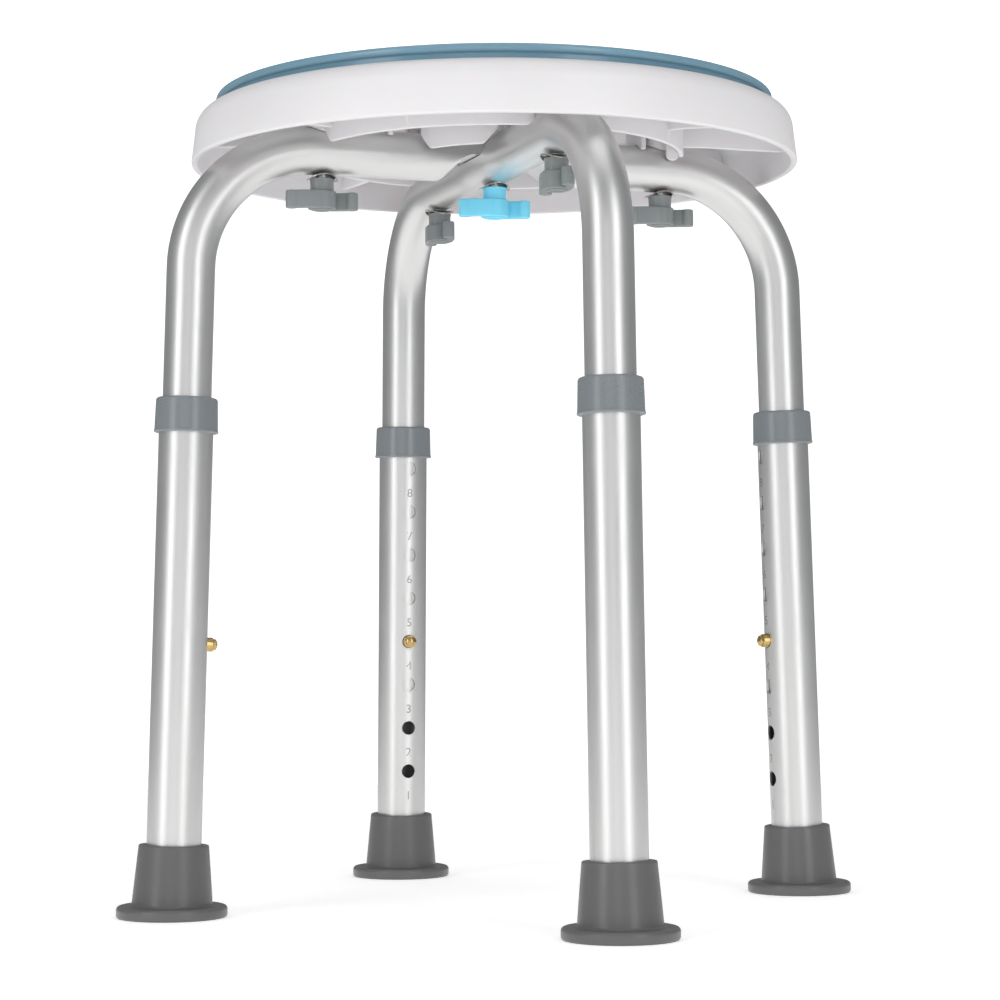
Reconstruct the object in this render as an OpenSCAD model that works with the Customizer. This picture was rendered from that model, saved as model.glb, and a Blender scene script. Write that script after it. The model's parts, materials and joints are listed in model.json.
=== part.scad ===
// Height-adjustable swivel shower stool.
// A round swivel seat turns on a ball ring over a ribbed plastic base.  Two tube arches cross
// under the base and are clamped to it by five wing knobs.  Each arch end carries a lower leg
// tube that slides on it and is held by a snap button in one of a row of holes.
// +Z is up and the origin is on the floor, on the stool's vertical axis.
// One arch runs along X (legs "right" and "left"), the other along Y ("back" and "front").

/* [Seat] */
// How far the seat's rolled lip stands back from the base's edge
seat_inset = 13; // [8:0.5:18]
// Height of the seat lip's top above the floor, with the button in the rest hole
seat_h = 429.5; // [415:0.1:515.4]
// Height of the rolled lip
lip_h = 4.2; // [3:0.1:6]
// How far the lip overhangs the ring wall under it
lip_overhang = 3.2; // [2:0.1:6]
// Thickness of the seat plate
seat_wall = 3.4; // [3:0.1:4]
// Depth of the sitting surface below the top of the lip
seat_dish = 0.9; // [0.5:0.1:2]
// Width of the ring wall under the lip
rim_wall = 3; // [2:0.1:4]
// Gap under the turning seat
swivel_gap = 0.6; // [0.4:0.1:1]
// Number of drain slots in the seat
slot_count = 12; // [6:1:16]
// Distance of the drain slots' middle from the edge of the seat
slot_inset = 37; // [28:1:42]
// Length of a drain slot
slot_l = 30; // [16:1:36]
// Width of a drain slot
slot_w = 5; // [4:0.5:7]

/* [Swivel] */
// Distance of the ball ring inside the circle of the outer knobs
race_inset = 26; // [20:1:32]
// Number of bearing balls
ball_count = 24; // [12:1:30]
// Diameter of a bearing ball
ball_d = 6.35; // [5:0.05:7]
// Depth that a ball sits in the seat and in the base
race_sink = 1.425; // [1.2:0.025:1.7]
// Width of the flat ball cage
cage_w = 14; // [12:1:18]
// Thickness of the ball cage
cage_t = 1.7; // [1.2:0.1:2]
// Radius of the pivot spigot on the base
pivot_r = 14; // [13:0.5:16]
// Radial running clearance of the seat on the spigot
pivot_gap = 0.1; // [0.05:0.01:0.3]
// Thickness of the seat's flange between base and retaining plate
flange_t = 2.3; // [2:0.1:3]
// Thickness of the steel retaining plate
plate_t = 1.2; // [1:0.1:1.5]
// How far the steel retaining plate overlaps the seat's flange
plate_lap = 6; // [4:0.5:8]
// Distance of the three pivot screws' axes inside the spigot's edge
screw_inset = 4.2; // [3.9:0.1:4.5]
// Shank diameter of a pivot screw
screw_d = 3.5; // [3:0.1:4]
// Height of a pivot screw's head
screw_head_h = 1; // [0.8:0.1:1.1]
// Length of a pivot screw under its head
screw_l = 9; // [7:0.5:11]
// How far the snap-in cap reaches past the retaining plate
cap_lap = 4; // [2:0.5:8]
// Thickness of the cap
cap_t = 1.6; // [1.2:0.1:2]

/* [Base] */
// Diameter of the base at the bottom of its skirt
base_d = 324; // [310:0.1:388.8]
// Height of the base from skirt edge to deck
base_h = 28.8; // [27:0.1:34]
// Wall thickness of the base
base_wall = 3.5; // [3:0.1:4]
// Radius of the skirt's rounded shoulder
shoulder_r = 11; // [6:0.5:14]
// How far the skirt leans out from shoulder to edge
skirt_lean = 2; // [0:0.1:4]
// How far the inner ring wall lies outside the circle of the outer knobs
ring_outset = 5.5; // [4:0.5:9]
// Depth of the ring walls below the deck
ring_depth = 23.5; // [22:0.5:24]
// Outer radius of the hub wall round the tube crossing
hub_ring_r = 48; // [42:1:54]
// Thickness of ribs and ring walls
rib_t = 2.6; // [2:0.1:3.2]
// Number of radial ribs, a multiple of four
rib_count = 12; // [8:4:16]
// Width of the tabs that hang beside the arch tube along X
tab_w = 6; // [4:0.5:9]
// Drop of the tab below the inner ring wall
tab_drop = 6.5; // [3:0.5:7]
// Gap between a tab and the arch tube
tab_gap = 1; // [0.5:0.1:3]
// Plastic round the corners of a captive nut
boss_wall = 3.6; // [2.5:0.1:4.5]
// Radius of the drain holes in the deck
drain_r = 3; // [2:0.5:4]
// Clearance between the saddles and the tubes
saddle_gap = 0.15; // [0.1:0.05:0.3]
// How far the cross ribs reach down beside the tubes they sit on
saddle_drop = 3.5; // [2:0.5:8]

/* [Tubes] */
// Outside diameter of the upper arch tube
arch_d = 25; // [22:0.5:30]
// Radial clearance of the arch tube in the leg tube
leg_gap = 0.3; // [0.2:0.05:0.5]
// Wall of the arch tube
arch_wall = 1.2; // [1:0.1:1.5]
// Wall of the leg tube
leg_wall = 1.2; // [1:0.1:1.4]
// How far a foot's middle stands outside the edge of the base, at the floor
foot_out = 14.1; // [8:0.1:30]
// Outward lean of each leg, in degrees
splay = 1.7; // [0:0.1:4]
// Bend radius at the tube's centreline
bend_r = 66; // [60:1:70]
// How much the tube thins round its bends
bend_draw = 0.12; // [0.08:0.01:0.2]
// Distance along the leg from the floor to the arch tube's open end
arch_end = 100; // [92:1:104]
// How far the flattened stretch at the crossing reaches past the other tube
crimp_spare = 2; // [1.5:0.5:5]
// Length of the slope at each end of the flattened stretch
crimp_slope = 12.5; // [9:0.5:17]
// Gap between the two flattened tubes
lap_gap = 0.2; // [0.1:0.1:0.6]

/* [Height adjustment] */
// Number of holes in each leg tube
hole_count = 8; // [5:1:8]
// Spacing of the holes
hole_pitch = 25.4; // [20:0.1:25.4]
// Distance along the leg from the floor to the lowest hole
hole_first = 62.8; // [55:0.1:64]
// Hole that the button is in at rest, counted from the bottom
rest_hole = 4; // [3:1:5]
// Radial clearance of the snap button in the leg tube's holes
hole_gap = 0.35; // [0.2:0.05:0.6]
// Diameter of the snap button
button_d = 7.3; // [6:0.01:8.76]
// How far the button stands out of the leg tube
button_out = 5.6; // [4:0.1:7]
// Radial clearance of the button in the arch tube
button_gap = 0.1; // [0.05:0.01:0.2]
// Thickness of the button's base flange
button_flange_t = 1; // [0.8:0.1:1.4]
// Thickness of the spring clip's strip
clip_t = 0.8; // [0.5:0.1:1]
// Width of the spring clip's strip
clip_w = 9; // [7:0.5:10]
// Length of the clip's straight arms above its bend
clip_arm = 38; // [34:1:44]
// Distance along the leg from the clip's bend up to the button
clip_drop = 27; // [24:1:28]
// Gap between the edge of the button's flange and the arch tube's bore
flange_gap = 0.37; // [0.2:0.01:1]

/* [Collar] */
// Wall of the collar round the leg tube
collar_wall = 2.6; // [2:0.1:4]
// Height of the collar
collar_h = 18; // [14:0.5:20]
// Length of leg tube gripped by the collar
collar_grip = 10.5; // [8:0.5:12]
// Radial clearance between the collar and the arch tube
collar_gap = 0.7; // [0.6:0.1:1.2]
// Clear distance from the top hole's centre to the collar
collar_lift = 7; // [6:0.5:10]

/* [Feet] */
// How far the foot's round flange stands out from the sleeve
foot_flange_w = 7.8; // [5:0.1:11]
// Thickness of the flange
foot_flange_t = 6; // [4:0.5:7]
// Wall of the foot's sleeve at its top
sleeve_top_wall = 4; // [3:0.5:6]
// Wall of the foot's sleeve at the flange
sleeve_low_wall = 6.5; // [5:0.5:9]
// Height of the whole foot along the leg
foot_h = 36.8; // [30:0.5:42]
// Rubber under the steel washer, measured along the leg
foot_sole = 6.6; // [6.4:0.1:8]
// Thickness of the steel washer in the foot
foot_washer_t = 1.5; // [1:0.1:2]

/* [Clamping knobs] */
// Distance of the outer knobs inside the start of the arch's bends
knob_inset = 4.2; // [3:0.1:12]
// Angle that the middle knob is left turned to
centre_turn = -6; // [-90:1:90]
// Thread diameter of the knob studs
stud_d = 6; // [5:0.1:7.2]
// Plastic round the stud in the knob's neck
neck_wall = 3.5; // [2.5:0.1:4.5]
// Height of the neck down to the wings
neck_h = 6.5; // [4:0.1:8]
// Height of the wings
wing_h = 9.4; // [8:0.1:12]
// Thickness of a wing
wing_t = 4.4; // [3.6:0.1:5.4]
// Distance from the knob's axis to the middle of a wing's rounded tip
wing_reach = 16.4; // [14:0.1:19]
// Radius of a wing's rounded tip
wing_tip_r = 3.2; // [2.8:0.1:3.6]
// Depth of the round boss under the wings
boss_drop = 0.6; // [0.5:0.1:2]
// Height of a captive nut
nut_h = 5; // [4:0.1:6]
// Depth of a captive nut's top below the deck
nut_sink = 2.6; // [2:0.1:4]
// Plastic between a captive nut and the tube
nut_floor = 4.4; // [3:0.1:6]
// Steel round the thread of a captive nut, at its flats
nut_wall = 2; // [1.75:0.05:2.25]
// How far the curved spring washer reaches past the neck
wave_lap = 1.8; // [0.5:0.1:2]
// Thickness of the spring washer's steel
wave_t = 0.5; // [0.4:0.1:0.8]
// Radius that the spring washer is curved to
wave_bend = 15; // [13:0.5:40]
// Play under the spring washer
wave_play = 0.1; // [0.05:0.05:0.3]

/* [Hidden] */
$fn = 96;
SIDES = ["right", "back", "left", "front"];
KNOBS = ["right", "back", "left", "front", "centre"];

eps = 0.01;
seat_blue = [0.40, 0.54, 0.63];
base_white = [0.92, 0.91, 0.93];
bare_aluminium = [0.78, 0.79, 0.80];
grey_plastic = [0.43, 0.46, 0.48];
grey_rubber = [0.40, 0.40, 0.41];
knob_blue = [0.36, 0.77, 0.96];
spring_steel = [0.72, 0.72, 0.72];
zinc_steel = [0.62, 0.64, 0.66];
snap_brass = [0.79, 0.67, 0.37];
acetal = [0.85, 0.84, 0.80];

// Diameters and radii that follow the pieces they fit
seat_d = base_d - 2 * seat_inset;
slot_r = seat_d / 2 - slot_inset;
race_gap = ball_d - 2 * race_sink;
plate_r = pivot_r + plate_lap;
screw_pcr = pivot_r - screw_inset;
cap_r = plate_r + cap_lap;
leg_d = arch_d + 2 * (leg_gap + leg_wall);
foot_r = base_d / 2 + foot_out;
hole_d = button_d + 2 * hole_gap;
flange_d = button_d + 2.4;
collar_d = leg_d + 2 * collar_wall;
sleeve_top_d = leg_d + 2 * sleeve_top_wall;
sleeve_low_d = leg_d + 2 * sleeve_low_wall;
foot_d = sleeve_low_d + 2 * foot_flange_w;
neck_d = stud_d + 2 * neck_wall;
nut_af = stud_d + 2 * nut_wall;
boss_r = nut_af / 2 / cos(30) + boss_wall;
wave_d = neck_d + 2 * wave_lap;
knob_hub_r = neck_d / 2 + 1;
wing_root = knob_hub_r - wing_t / 2 - 0.3;
wing_bend = (pow(wing_reach, 2) + pow(wing_root, 2)) / (2 * wing_root);

// Heights, worked down from the seat
plate_top = seat_h - seat_dish;
plate_low = plate_top - seat_wall;
deck_top = plate_low - race_gap;
deck_low = deck_top - base_wall;
skirt_z = deck_top - base_h;
shoulder_x = base_d / 2 - skirt_lean - shoulder_r;
ball_z = (deck_top + plate_low) / 2;
flange_z = deck_top + swivel_gap;
spigot_top = flange_z + flange_t + swivel_gap / 2;
retainer_top = spigot_top + plate_t;
cap_z = retainer_top + screw_head_h + 0.3;

// The arches hang under the deck by the depth of the nut bosses
nut_z = deck_top - nut_sink - nut_h;
arch_top = nut_z - nut_floor;
arch_z = arch_top - arch_d / 2;
bend_end_z = arch_z - bend_r * (1 - sin(splay));
bend_x = foot_r - bend_end_z * tan(splay) - bend_r * cos(splay);
bend_t = bend_end_z / cos(splay);
knob_r = bend_x - knob_inset;
inner_ring_r = knob_r + ring_outset;
race_r = knob_r - race_inset;
bend_lap = 1.5;
clear_hole_d = stud_d + 0.6;

// The flattened stretch of each arch tube, measured from the stool's axis
crimp_flat = arch_d / 2 + crimp_spare;
crimp_reach = crimp_flat + crimp_slope;

// Along a leg, measured from the floor
rest_t = hole_first + (rest_hole - 1) * hole_pitch;
top_hole_t = hole_first + (hole_count - 1) * hole_pitch;
collar_t = top_hole_t + collar_lift;
leg_top_t = collar_t + collar_grip;
leg_low_t = foot_sole + foot_washer_t;
arch_bore_r = arch_d / 2 - arch_wall;
leg_bore_r = leg_d / 2 - leg_wall;

// The spring clip's strip stays inside the tube's round bore
clip_back = sqrt(pow(arch_bore_r - 0.1, 2) - pow(clip_w / 2, 2));
clip_front = sqrt(pow(arch_bore_r - flange_gap, 2) - pow(flange_d / 2, 2)) - button_flange_t;
clip_mid = (clip_front - clip_back) / 2;
clip_r = (clip_front + clip_back) / 2;

// Under the tubes
tube_low = arch_z - arch_d / 2;
wave_drop = wave_bend - sqrt(pow(wave_bend - wave_t, 2) - pow(neck_d / 2, 2));
neck_top = tube_low - wave_drop - wave_play;
wing_top = neck_top - neck_h;
stud_top = nut_z + nut_h + 0.4;

// Points of an arc from angle a to angle b, in degrees
function arc(x, y, r, a, b, n = 10) =
    [for (i = [0:n]) let (t = a + (b - a) * i / n) [x + r * cos(t), y + r * sin(t)]];

function side_angle(side) = side == "right" ? 0 : side == "back" ? 90 : side == "left" ? 180 : 270;

// Puts children in a leg's own frame: +Z up the leg from the floor, +X away from the stool
module at_leg(side)
    rotate([0, 0, side_angle(side)]) translate([foot_r, 0, 0]) rotate([0, -splay, 0]) children();

// Puts children at a knob's axis, with X along the tube that the knob clamps
module at_knob(place)
    rotate([0, 0, place == "centre" ? 0 : side_angle(place)])
        translate([place == "centre" ? 0 : knob_r, 0, 0]) children();

// Turns the middle knob as it is left when it is tight
function knob_turn(place) = place == "centre" ? centre_turn : 0;

// ---- Seat ----

module slot(length, width, height) {
    for (x = [-1, 1])
        translate([x * (length - width) / 2, 0, 0]) cylinder(d = width, h = height, $fn = 48);
    translate([-(length - width) / 2, -width / 2, 0]) cube([length - width, width, height]);
}

module seat_disc()
    color(seat_blue) difference() {
        rotate_extrude($fn = 180) polygon(concat(
            [[0, flange_z], [cap_r + 5, flange_z], [cap_r + 5, plate_low]],
            [[seat_d / 2 - lip_overhang - rim_wall, plate_low]],
            [[seat_d / 2 - lip_overhang - rim_wall, flange_z]],
            [[seat_d / 2 - lip_overhang, flange_z], [seat_d / 2 - lip_overhang, seat_h - lip_h]],
            arc(seat_d / 2 - lip_h / 2, seat_h - lip_h / 2, lip_h / 2, -90, 90),
            [[seat_d / 2 - lip_h - 4, seat_h], [seat_d / 2 - lip_h - 7, plate_top], [0, plate_top]]
        ));
        // Pivot bore, recess for the retaining plate and pocket for the cap
        translate([0, 0, flange_z - 1]) cylinder(r = pivot_r + pivot_gap, h = 10);
        translate([0, 0, flange_z + flange_t]) cylinder(r = plate_r + 1, h = 10);
        translate([0, 0, cap_z]) cylinder(r = cap_r + 0.1, h = 10);
        // Upper ball groove
        ball_groove();
        for (i = [0:slot_count - 1])
            rotate([0, 0, (i + 0.5) * 360 / slot_count])
                translate([slot_r, 0, plate_low - 1]) slot(slot_l, slot_w, seat_wall + 2);
    }

module seat_cap()
    color(seat_blue) union() {
        translate([0, 0, cap_z]) cylinder(r = cap_r, h = cap_t - 0.4);
        translate([0, 0, cap_z + cap_t - 0.4]) cylinder(r1 = cap_r, r2 = cap_r - 0.6, h = 0.4);
    }

// ---- Swivel ----

module ball_groove()
    translate([0, 0, ball_z]) rotate_extrude() translate([race_r, 0]) circle(d = ball_d + 0.2);

module bearing_balls()
    color(zinc_steel) for (i = [0:ball_count - 1])
        rotate([0, 0, i * 360 / ball_count]) translate([race_r, 0, ball_z]) sphere(d = ball_d, $fn = 32);

module bearing_cage()
    color(acetal) translate([0, 0, ball_z - cage_t / 2]) difference() {
        cylinder(r = race_r + cage_w / 2, h = cage_t);
        translate([0, 0, -1]) cylinder(r = race_r - cage_w / 2, h = cage_t + 2);
        for (i = [0:ball_count - 1])
            rotate([0, 0, i * 360 / ball_count])
                translate([race_r, 0, -1]) cylinder(d = ball_d + 0.1, h = cage_t + 2, $fn = 32);
    }

module pivot_plate()
    color(spring_steel) difference() {
        translate([0, 0, spigot_top]) cylinder(r = plate_r, h = plate_t);
        for_pivot_screws() translate([0, 0, spigot_top - 1]) cylinder(d = screw_d + 0.3, h = 9, $fn = 32);
    }

module for_pivot_screws()
    for (a = [30, 150, 270]) rotate([0, 0, a]) translate([screw_pcr, 0, 0]) children();

module pivot_screws()
    color(zinc_steel) for_pivot_screws() difference() {
        union() {
            translate([0, 0, retainer_top]) cylinder(d = screw_d + 2.7, h = screw_head_h, $fn = 32);
            translate([0, 0, retainer_top - screw_l]) cylinder(d = screw_d, h = screw_l + eps, $fn = 32);
        }
        // Cross recess
        for (a = [0, 90]) rotate([0, 0, a])
            translate([-1.6, -0.4, retainer_top + screw_head_h - 0.6]) cube([3.2, 0.8, 1]);
    }

// ---- Base ----

// Space that a straight tube of radius r takes along X under the deck
module tube_space(r) {
    rotate([0, 90, 0]) cylinder(r = r, h = base_d + 20, center = true);
    translate([-base_d / 2 - 10, -r, -60]) cube([base_d + 20, 2 * r, 60]);
}

module for_arches() {
    children();
    rotate([0, 0, 90]) children();
}

module base_shell()
    rotate_extrude($fn = 180) polygon(concat(
        [[0, deck_low], [0, deck_top]],
        arc(shoulder_x, deck_top - shoulder_r, shoulder_r, 90, 0),
        [[base_d / 2, skirt_z + 1], [base_d / 2 - 0.6, skirt_z]],
        [[base_d / 2 - base_wall + 0.6, skirt_z], [base_d / 2 - base_wall, skirt_z + 1]],
        arc(shoulder_x, deck_top - shoulder_r, shoulder_r - base_wall, 0, 90)
    ));

// Everything inside the middle of the base's wall
module base_core()
    rotate_extrude() polygon(concat(
        [[0, skirt_z + 2], [0, deck_top - base_wall / 2]],
        arc(shoulder_x, deck_top - shoulder_r, shoulder_r - base_wall / 2, 90, 0),
        [[base_d / 2 - skirt_lean - base_wall / 2, skirt_z + 2]]
    ));

module ring_wall(outer_r, depth)
    translate([0, 0, deck_top - depth]) difference() {
        cylinder(r = outer_r, h = depth - eps);
        translate([0, 0, -1]) cylinder(r = outer_r - rib_t, h = depth + 2);
    }

module radial_ribs()
    intersection() {
        for (i = [0:rib_count - 1])
            rotate([0, 0, (i + 0.5) * 360 / rib_count])
                translate([inner_ring_r - rib_t / 2, -rib_t / 2, deck_top - ring_depth + 3])
                    cube([base_d / 2 - inner_ring_r, rib_t, ring_depth]);
        base_core();
    }

// Rounded tabs that hang from the inner ring wall beside the arch tube along X
module slot_tabs()
    for (m = [0, 1], n = [0, 1]) mirror([m, 0, 0]) mirror([0, n, 0])
        translate([inner_ring_r - 3, -arch_d / 2 - tab_gap, 0]) rotate([90, 0, 90])
            translate([-tab_w, 0, 0]) {
                translate([0, deck_top - ring_depth - tab_drop + tab_w / 2, 0])
                    cube([tab_w, ring_depth, rib_t]);
                translate([tab_w / 2, deck_top - ring_depth - tab_drop + tab_w / 2, 0])
                    cylinder(d = tab_w, h = rib_t, $fn = 48);
            }

// Cross ribs that sit on the tubes, from the hub wall out to the inner ring wall
module saddles()
    for_arches() for (m = [0, 1]) mirror([m, 0, 0])
        for (x = [hub_ring_r + 12, (hub_ring_r + inner_ring_r) / 2 + 6])
            translate([x, -arch_d / 2, arch_top - saddle_drop])
                cube([rib_t, arch_d, deck_low - arch_top + saddle_drop + 1]);

module hub_spokes()
    for (a = [45, 135, 225, 315]) rotate([0, 0, a])
        translate([boss_r, -rib_t / 2, deck_top - ring_depth + 6])
            cube([inner_ring_r - boss_r - rib_t / 2, rib_t, ring_depth - 7]);

module hex_pocket(height)
    cylinder(r = (nut_af + 0.2) / 2 / cos(30), h = height, $fn = 6);

module seat_base()
    color(base_white) difference() {
        union() {
            base_shell();
            difference() {
                union() {
                    ring_wall(inner_ring_r, ring_depth);
                    ring_wall(hub_ring_r, ring_depth);
                    radial_ribs();
                    slot_tabs();
                    saddles();
                    hub_spokes();
                    for (k = KNOBS) at_knob(k)
                        translate([0, 0, arch_top - 6]) cylinder(r = boss_r, h = deck_low - arch_top + 7);
                }
                for_arches() translate([0, 0, arch_z]) tube_space(arch_d / 2 + saddle_gap);
            }
            cylinder(r = pivot_r, h = spigot_top);
        }
        translate([0, 0, -1]) cylinder(r = pivot_r + 1, h = arch_top + saddle_gap + 1);
        // Captive nut pockets, open at the top of the deck, and stud holes
        for (k = KNOBS) at_knob(k) {
            translate([0, 0, arch_top - 1]) cylinder(d = clear_hole_d, h = nut_floor + 3);
            translate([0, 0, nut_z]) hex_pocket(spigot_top);
        }
        for_pivot_screws() translate([0, 0, retainer_top - screw_l - 0.5])
            cylinder(d = screw_d, h = screw_l + 1, $fn = 32);
        ball_groove();
        for (i = [0:3]) rotate([0, 0, 45 + 90 * i])
            translate([slot_r + 12, 6, deck_low - 1]) cylinder(r = drain_r, h = base_wall + 2, $fn = 32);
    }

module captive_nuts()
    color(zinc_steel) for (k = KNOBS) at_knob(k) translate([0, 0, nut_z]) difference() {
        cylinder(r = nut_af / 2 / cos(30), h = nut_h, $fn = 6);
        translate([0, 0, -1]) cylinder(d = stud_d + 0.2, h = nut_h + 2);
    }

// ---- Arch tubes ----

// Solid arch of radius r along X; its legs run down to lower_t along the leg.  The tube is drawn
// a little thinner in its bends, and the straight tube laps over their ends.
module arch_solid(r, lower_t) {
    translate([0, 0, arch_z]) rotate([0, 90, 0])
        cylinder(r = r, h = 2 * (bend_x + bend_lap), center = true);
    for (side = ["right", "left"]) {
        rotate([0, 0, side_angle(side)]) translate([bend_x, 0, arch_z - bend_r])
            rotate([90, 0, 0]) rotate([0, 0, splay]) rotate_extrude(angle = 90 - splay)
                translate([bend_r, 0]) circle(r = r - bend_draw);
        at_leg(side) translate([0, 0, lower_t]) cylinder(r = r, h = bend_t + bend_lap - lower_t);
    }
}

// Dent that flattens half of the tube, with sloping ends; grow makes it larger all round
module crimp(grow)
    rotate([90, 0, 0]) linear_extrude(height = arch_d + 10, center = true) polygon([
        [-crimp_reach - grow, -arch_d / 2 - 1], [-crimp_flat - grow, lap_gap / 2 + grow],
        [crimp_flat + grow, lap_gap / 2 + grow], [crimp_reach + grow, -arch_d / 2 - 1]
    ]);

// flip = 0 is dented from below, flip = 1 from above
module arch_tube(flip)
    difference() {
        arch_solid(arch_d / 2, arch_end);
        difference() {
            arch_solid(arch_bore_r, arch_end - 1);
            translate([0, 0, arch_z]) mirror([0, 0, flip]) crimp(arch_wall);
        }
        translate([0, 0, arch_z]) mirror([0, 0, flip]) crimp(0);
        for (x = [-knob_r, 0, knob_r])
            translate([x, 0, tube_low - 2]) cylinder(d = clear_hole_d, h = arch_d + 4);
        for (side = ["right", "left"])
            at_leg(side) translate([0, 0, rest_t]) rotate([0, -90, 0])
                cylinder(r = button_d / 2 + button_gap, h = arch_d);
    }

module arch_tube_x() color(bare_aluminium) arch_tube(0);

module arch_tube_y() color(bare_aluminium) rotate([0, 0, 90]) arch_tube(1);

// ---- Clamping knobs ----

// A curved washer: its middle touches the tube and its ends droop onto the knob's neck
module spring_washers()
    color(spring_steel) for (k = KNOBS) at_knob(k) intersection() {
        translate([0, 0, tube_low - 6]) difference() {
            cylinder(d = wave_d, h = 10);
            translate([0, 0, -1]) cylinder(d = stud_d + 0.8, h = 12);
        }
        translate([0, 0, tube_low - wave_bend]) rotate([90, 0, 0]) difference() {
            cylinder(r = wave_bend, h = wave_d + 2, center = true, $fn = 180);
            cylinder(r = wave_bend - wave_t, h = wave_d + 4, center = true, $fn = 180);
        }
    }

// Two curved bars that start at opposite sides of the hub and end in rounded tips on one line
module wing_plan()
    for (m = [0, 180]) rotate([0, 0, m]) {
        intersection() {
            translate([0, wing_root - wing_bend]) difference() {
                circle(r = wing_bend + wing_t / 2, $fn = 180);
                circle(r = wing_bend - wing_t / 2, $fn = 180);
            }
            translate([0, -wing_t]) square([wing_reach, wing_root + 2 * wing_t]);
        }
        translate([wing_reach, 0]) circle(r = wing_tip_r, $fn = 48);
    }

module wing_knob(place)
    at_knob(place) rotate([0, 0, knob_turn(place)]) difference() {
        union() {
            translate([0, 0, wing_top]) cylinder(d = neck_d, h = neck_h);
            translate([0, 0, wing_top - wing_h]) linear_extrude(height = wing_h) union() {
                circle(r = knob_hub_r);
                wing_plan();
            }
            translate([0, 0, wing_top - wing_h - boss_drop]) cylinder(d = neck_d - 2, h = boss_drop + eps);
        }
        translate([0, 0, wing_top - wing_h + 2]) cylinder(d = stud_d, h = neck_h + wing_h);
    }

module knob(place)
    color(place == "centre" ? knob_blue : grey_plastic) wing_knob(place);

module stud(place)
    color(zinc_steel) at_knob(place) translate([0, 0, wing_top - wing_h + 2])
        cylinder(d = stud_d, h = stud_top - wing_top + wing_h - 2);

// ---- Snap buttons ----

module button(side)
    color(snap_brass) at_leg(side) translate([0, 0, rest_t]) rotate([0, -90, 0]) {
        translate([0, 0, clip_front]) cylinder(d = flange_d, h = button_flange_t);
        translate([0, 0, clip_front]) cylinder(d = button_d, h = leg_d / 2 + button_out - 2.4 - clip_front);
        translate([0, 0, leg_d / 2 + button_out - 3]) intersection() {
            cylinder(d = button_d - 1.2, h = 3);
            translate([0, 0, 3 - button_d * 0.6]) sphere(r = button_d * 0.6);
        }
    }

module spring_clip(side)
    color(spring_steel) at_leg(side) translate([-clip_mid, 0, rest_t - clip_drop]) {
        rotate([90, 0, 0]) difference() {
            cylinder(r = clip_r, h = clip_w, center = true);
            cylinder(r = clip_r - clip_t, h = clip_w + 2, center = true);
            translate([-clip_r - 1, 0, -clip_w]) cube([2 * clip_r + 2, clip_r + 1, 2 * clip_w]);
        }
        for (x = [-clip_r, clip_r - clip_t])
            translate([x, -clip_w / 2, 0]) cube([clip_t, clip_w, clip_arm]);
    }

// ---- Leg tubes, collars and feet ----

module leg_tube(side)
    color(bare_aluminium) at_leg(side) difference() {
        translate([0, 0, leg_low_t]) cylinder(d = leg_d, h = leg_top_t - leg_low_t);
        translate([0, 0, leg_low_t - 1]) cylinder(r = leg_bore_r, h = leg_top_t - leg_low_t + 2);
        for (i = [0:hole_count - 1])
            translate([0, 0, hole_first + i * hole_pitch]) rotate([0, -90, 0])
                cylinder(d = hole_d, h = leg_d, $fn = 48);
    }

module collar(side)
    color(grey_plastic) at_leg(side) translate([0, 0, collar_t]) difference() {
        rotate_extrude() polygon([
            [0, 0], [collar_d / 2 - 0.5, 0], [collar_d / 2, 0.5], [collar_d / 2, collar_h - 1.4],
            [collar_d / 2 - 0.5, collar_h - 0.4], [collar_d / 2 - 1.4, collar_h], [0, collar_h]
        ]);
        translate([0, 0, -1]) cylinder(d = leg_d, h = collar_grip + 1);
        translate([0, 0, -1]) cylinder(r = arch_d / 2 + collar_gap, h = collar_h + 2);
    }

module foot(side)
    color(grey_rubber) difference() {
        union() {
            rotate([0, 0, side_angle(side)]) translate([foot_r, 0, 0]) rotate_extrude() polygon(concat(
                [[0, 0], [foot_d / 2 - 1, 0]],
                arc(foot_d / 2 - 1.5, 1.5, 1.5, -60, 0, 4),
                arc(foot_d / 2 - 2.5, foot_flange_t - 2.5, 2.5, 0, 90, 6),
                [[0, foot_flange_t]]
            ));
            at_leg(side) translate([0, 0, 3])
                cylinder(d1 = sleeve_low_d, d2 = sleeve_top_d, h = foot_h - 3);
        }
        at_leg(side) translate([0, 0, foot_sole]) cylinder(d = leg_d, h = foot_h);
    }

module foot_washer(side)
    color(zinc_steel) at_leg(side) translate([0, 0, foot_sole])
        cylinder(d = leg_d - 0.2, h = foot_washer_t);

seat_disc();
seat_cap();
bearing_cage();
bearing_balls();
pivot_plate();
pivot_screws();
seat_base();
captive_nuts();
arch_tube_x();
arch_tube_y();
spring_washers();
for (place = KNOBS) {
    knob(place);
    stud(place);
}
for (side = SIDES) {
    spring_clip(side);
    button(side);
    leg_tube(side);
    collar(side);
    foot(side);
    foot_washer(side);
}
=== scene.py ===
import json
import math

import bmesh
import bpy
import numpy as np
from mathutils import Matrix, Vector


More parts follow.
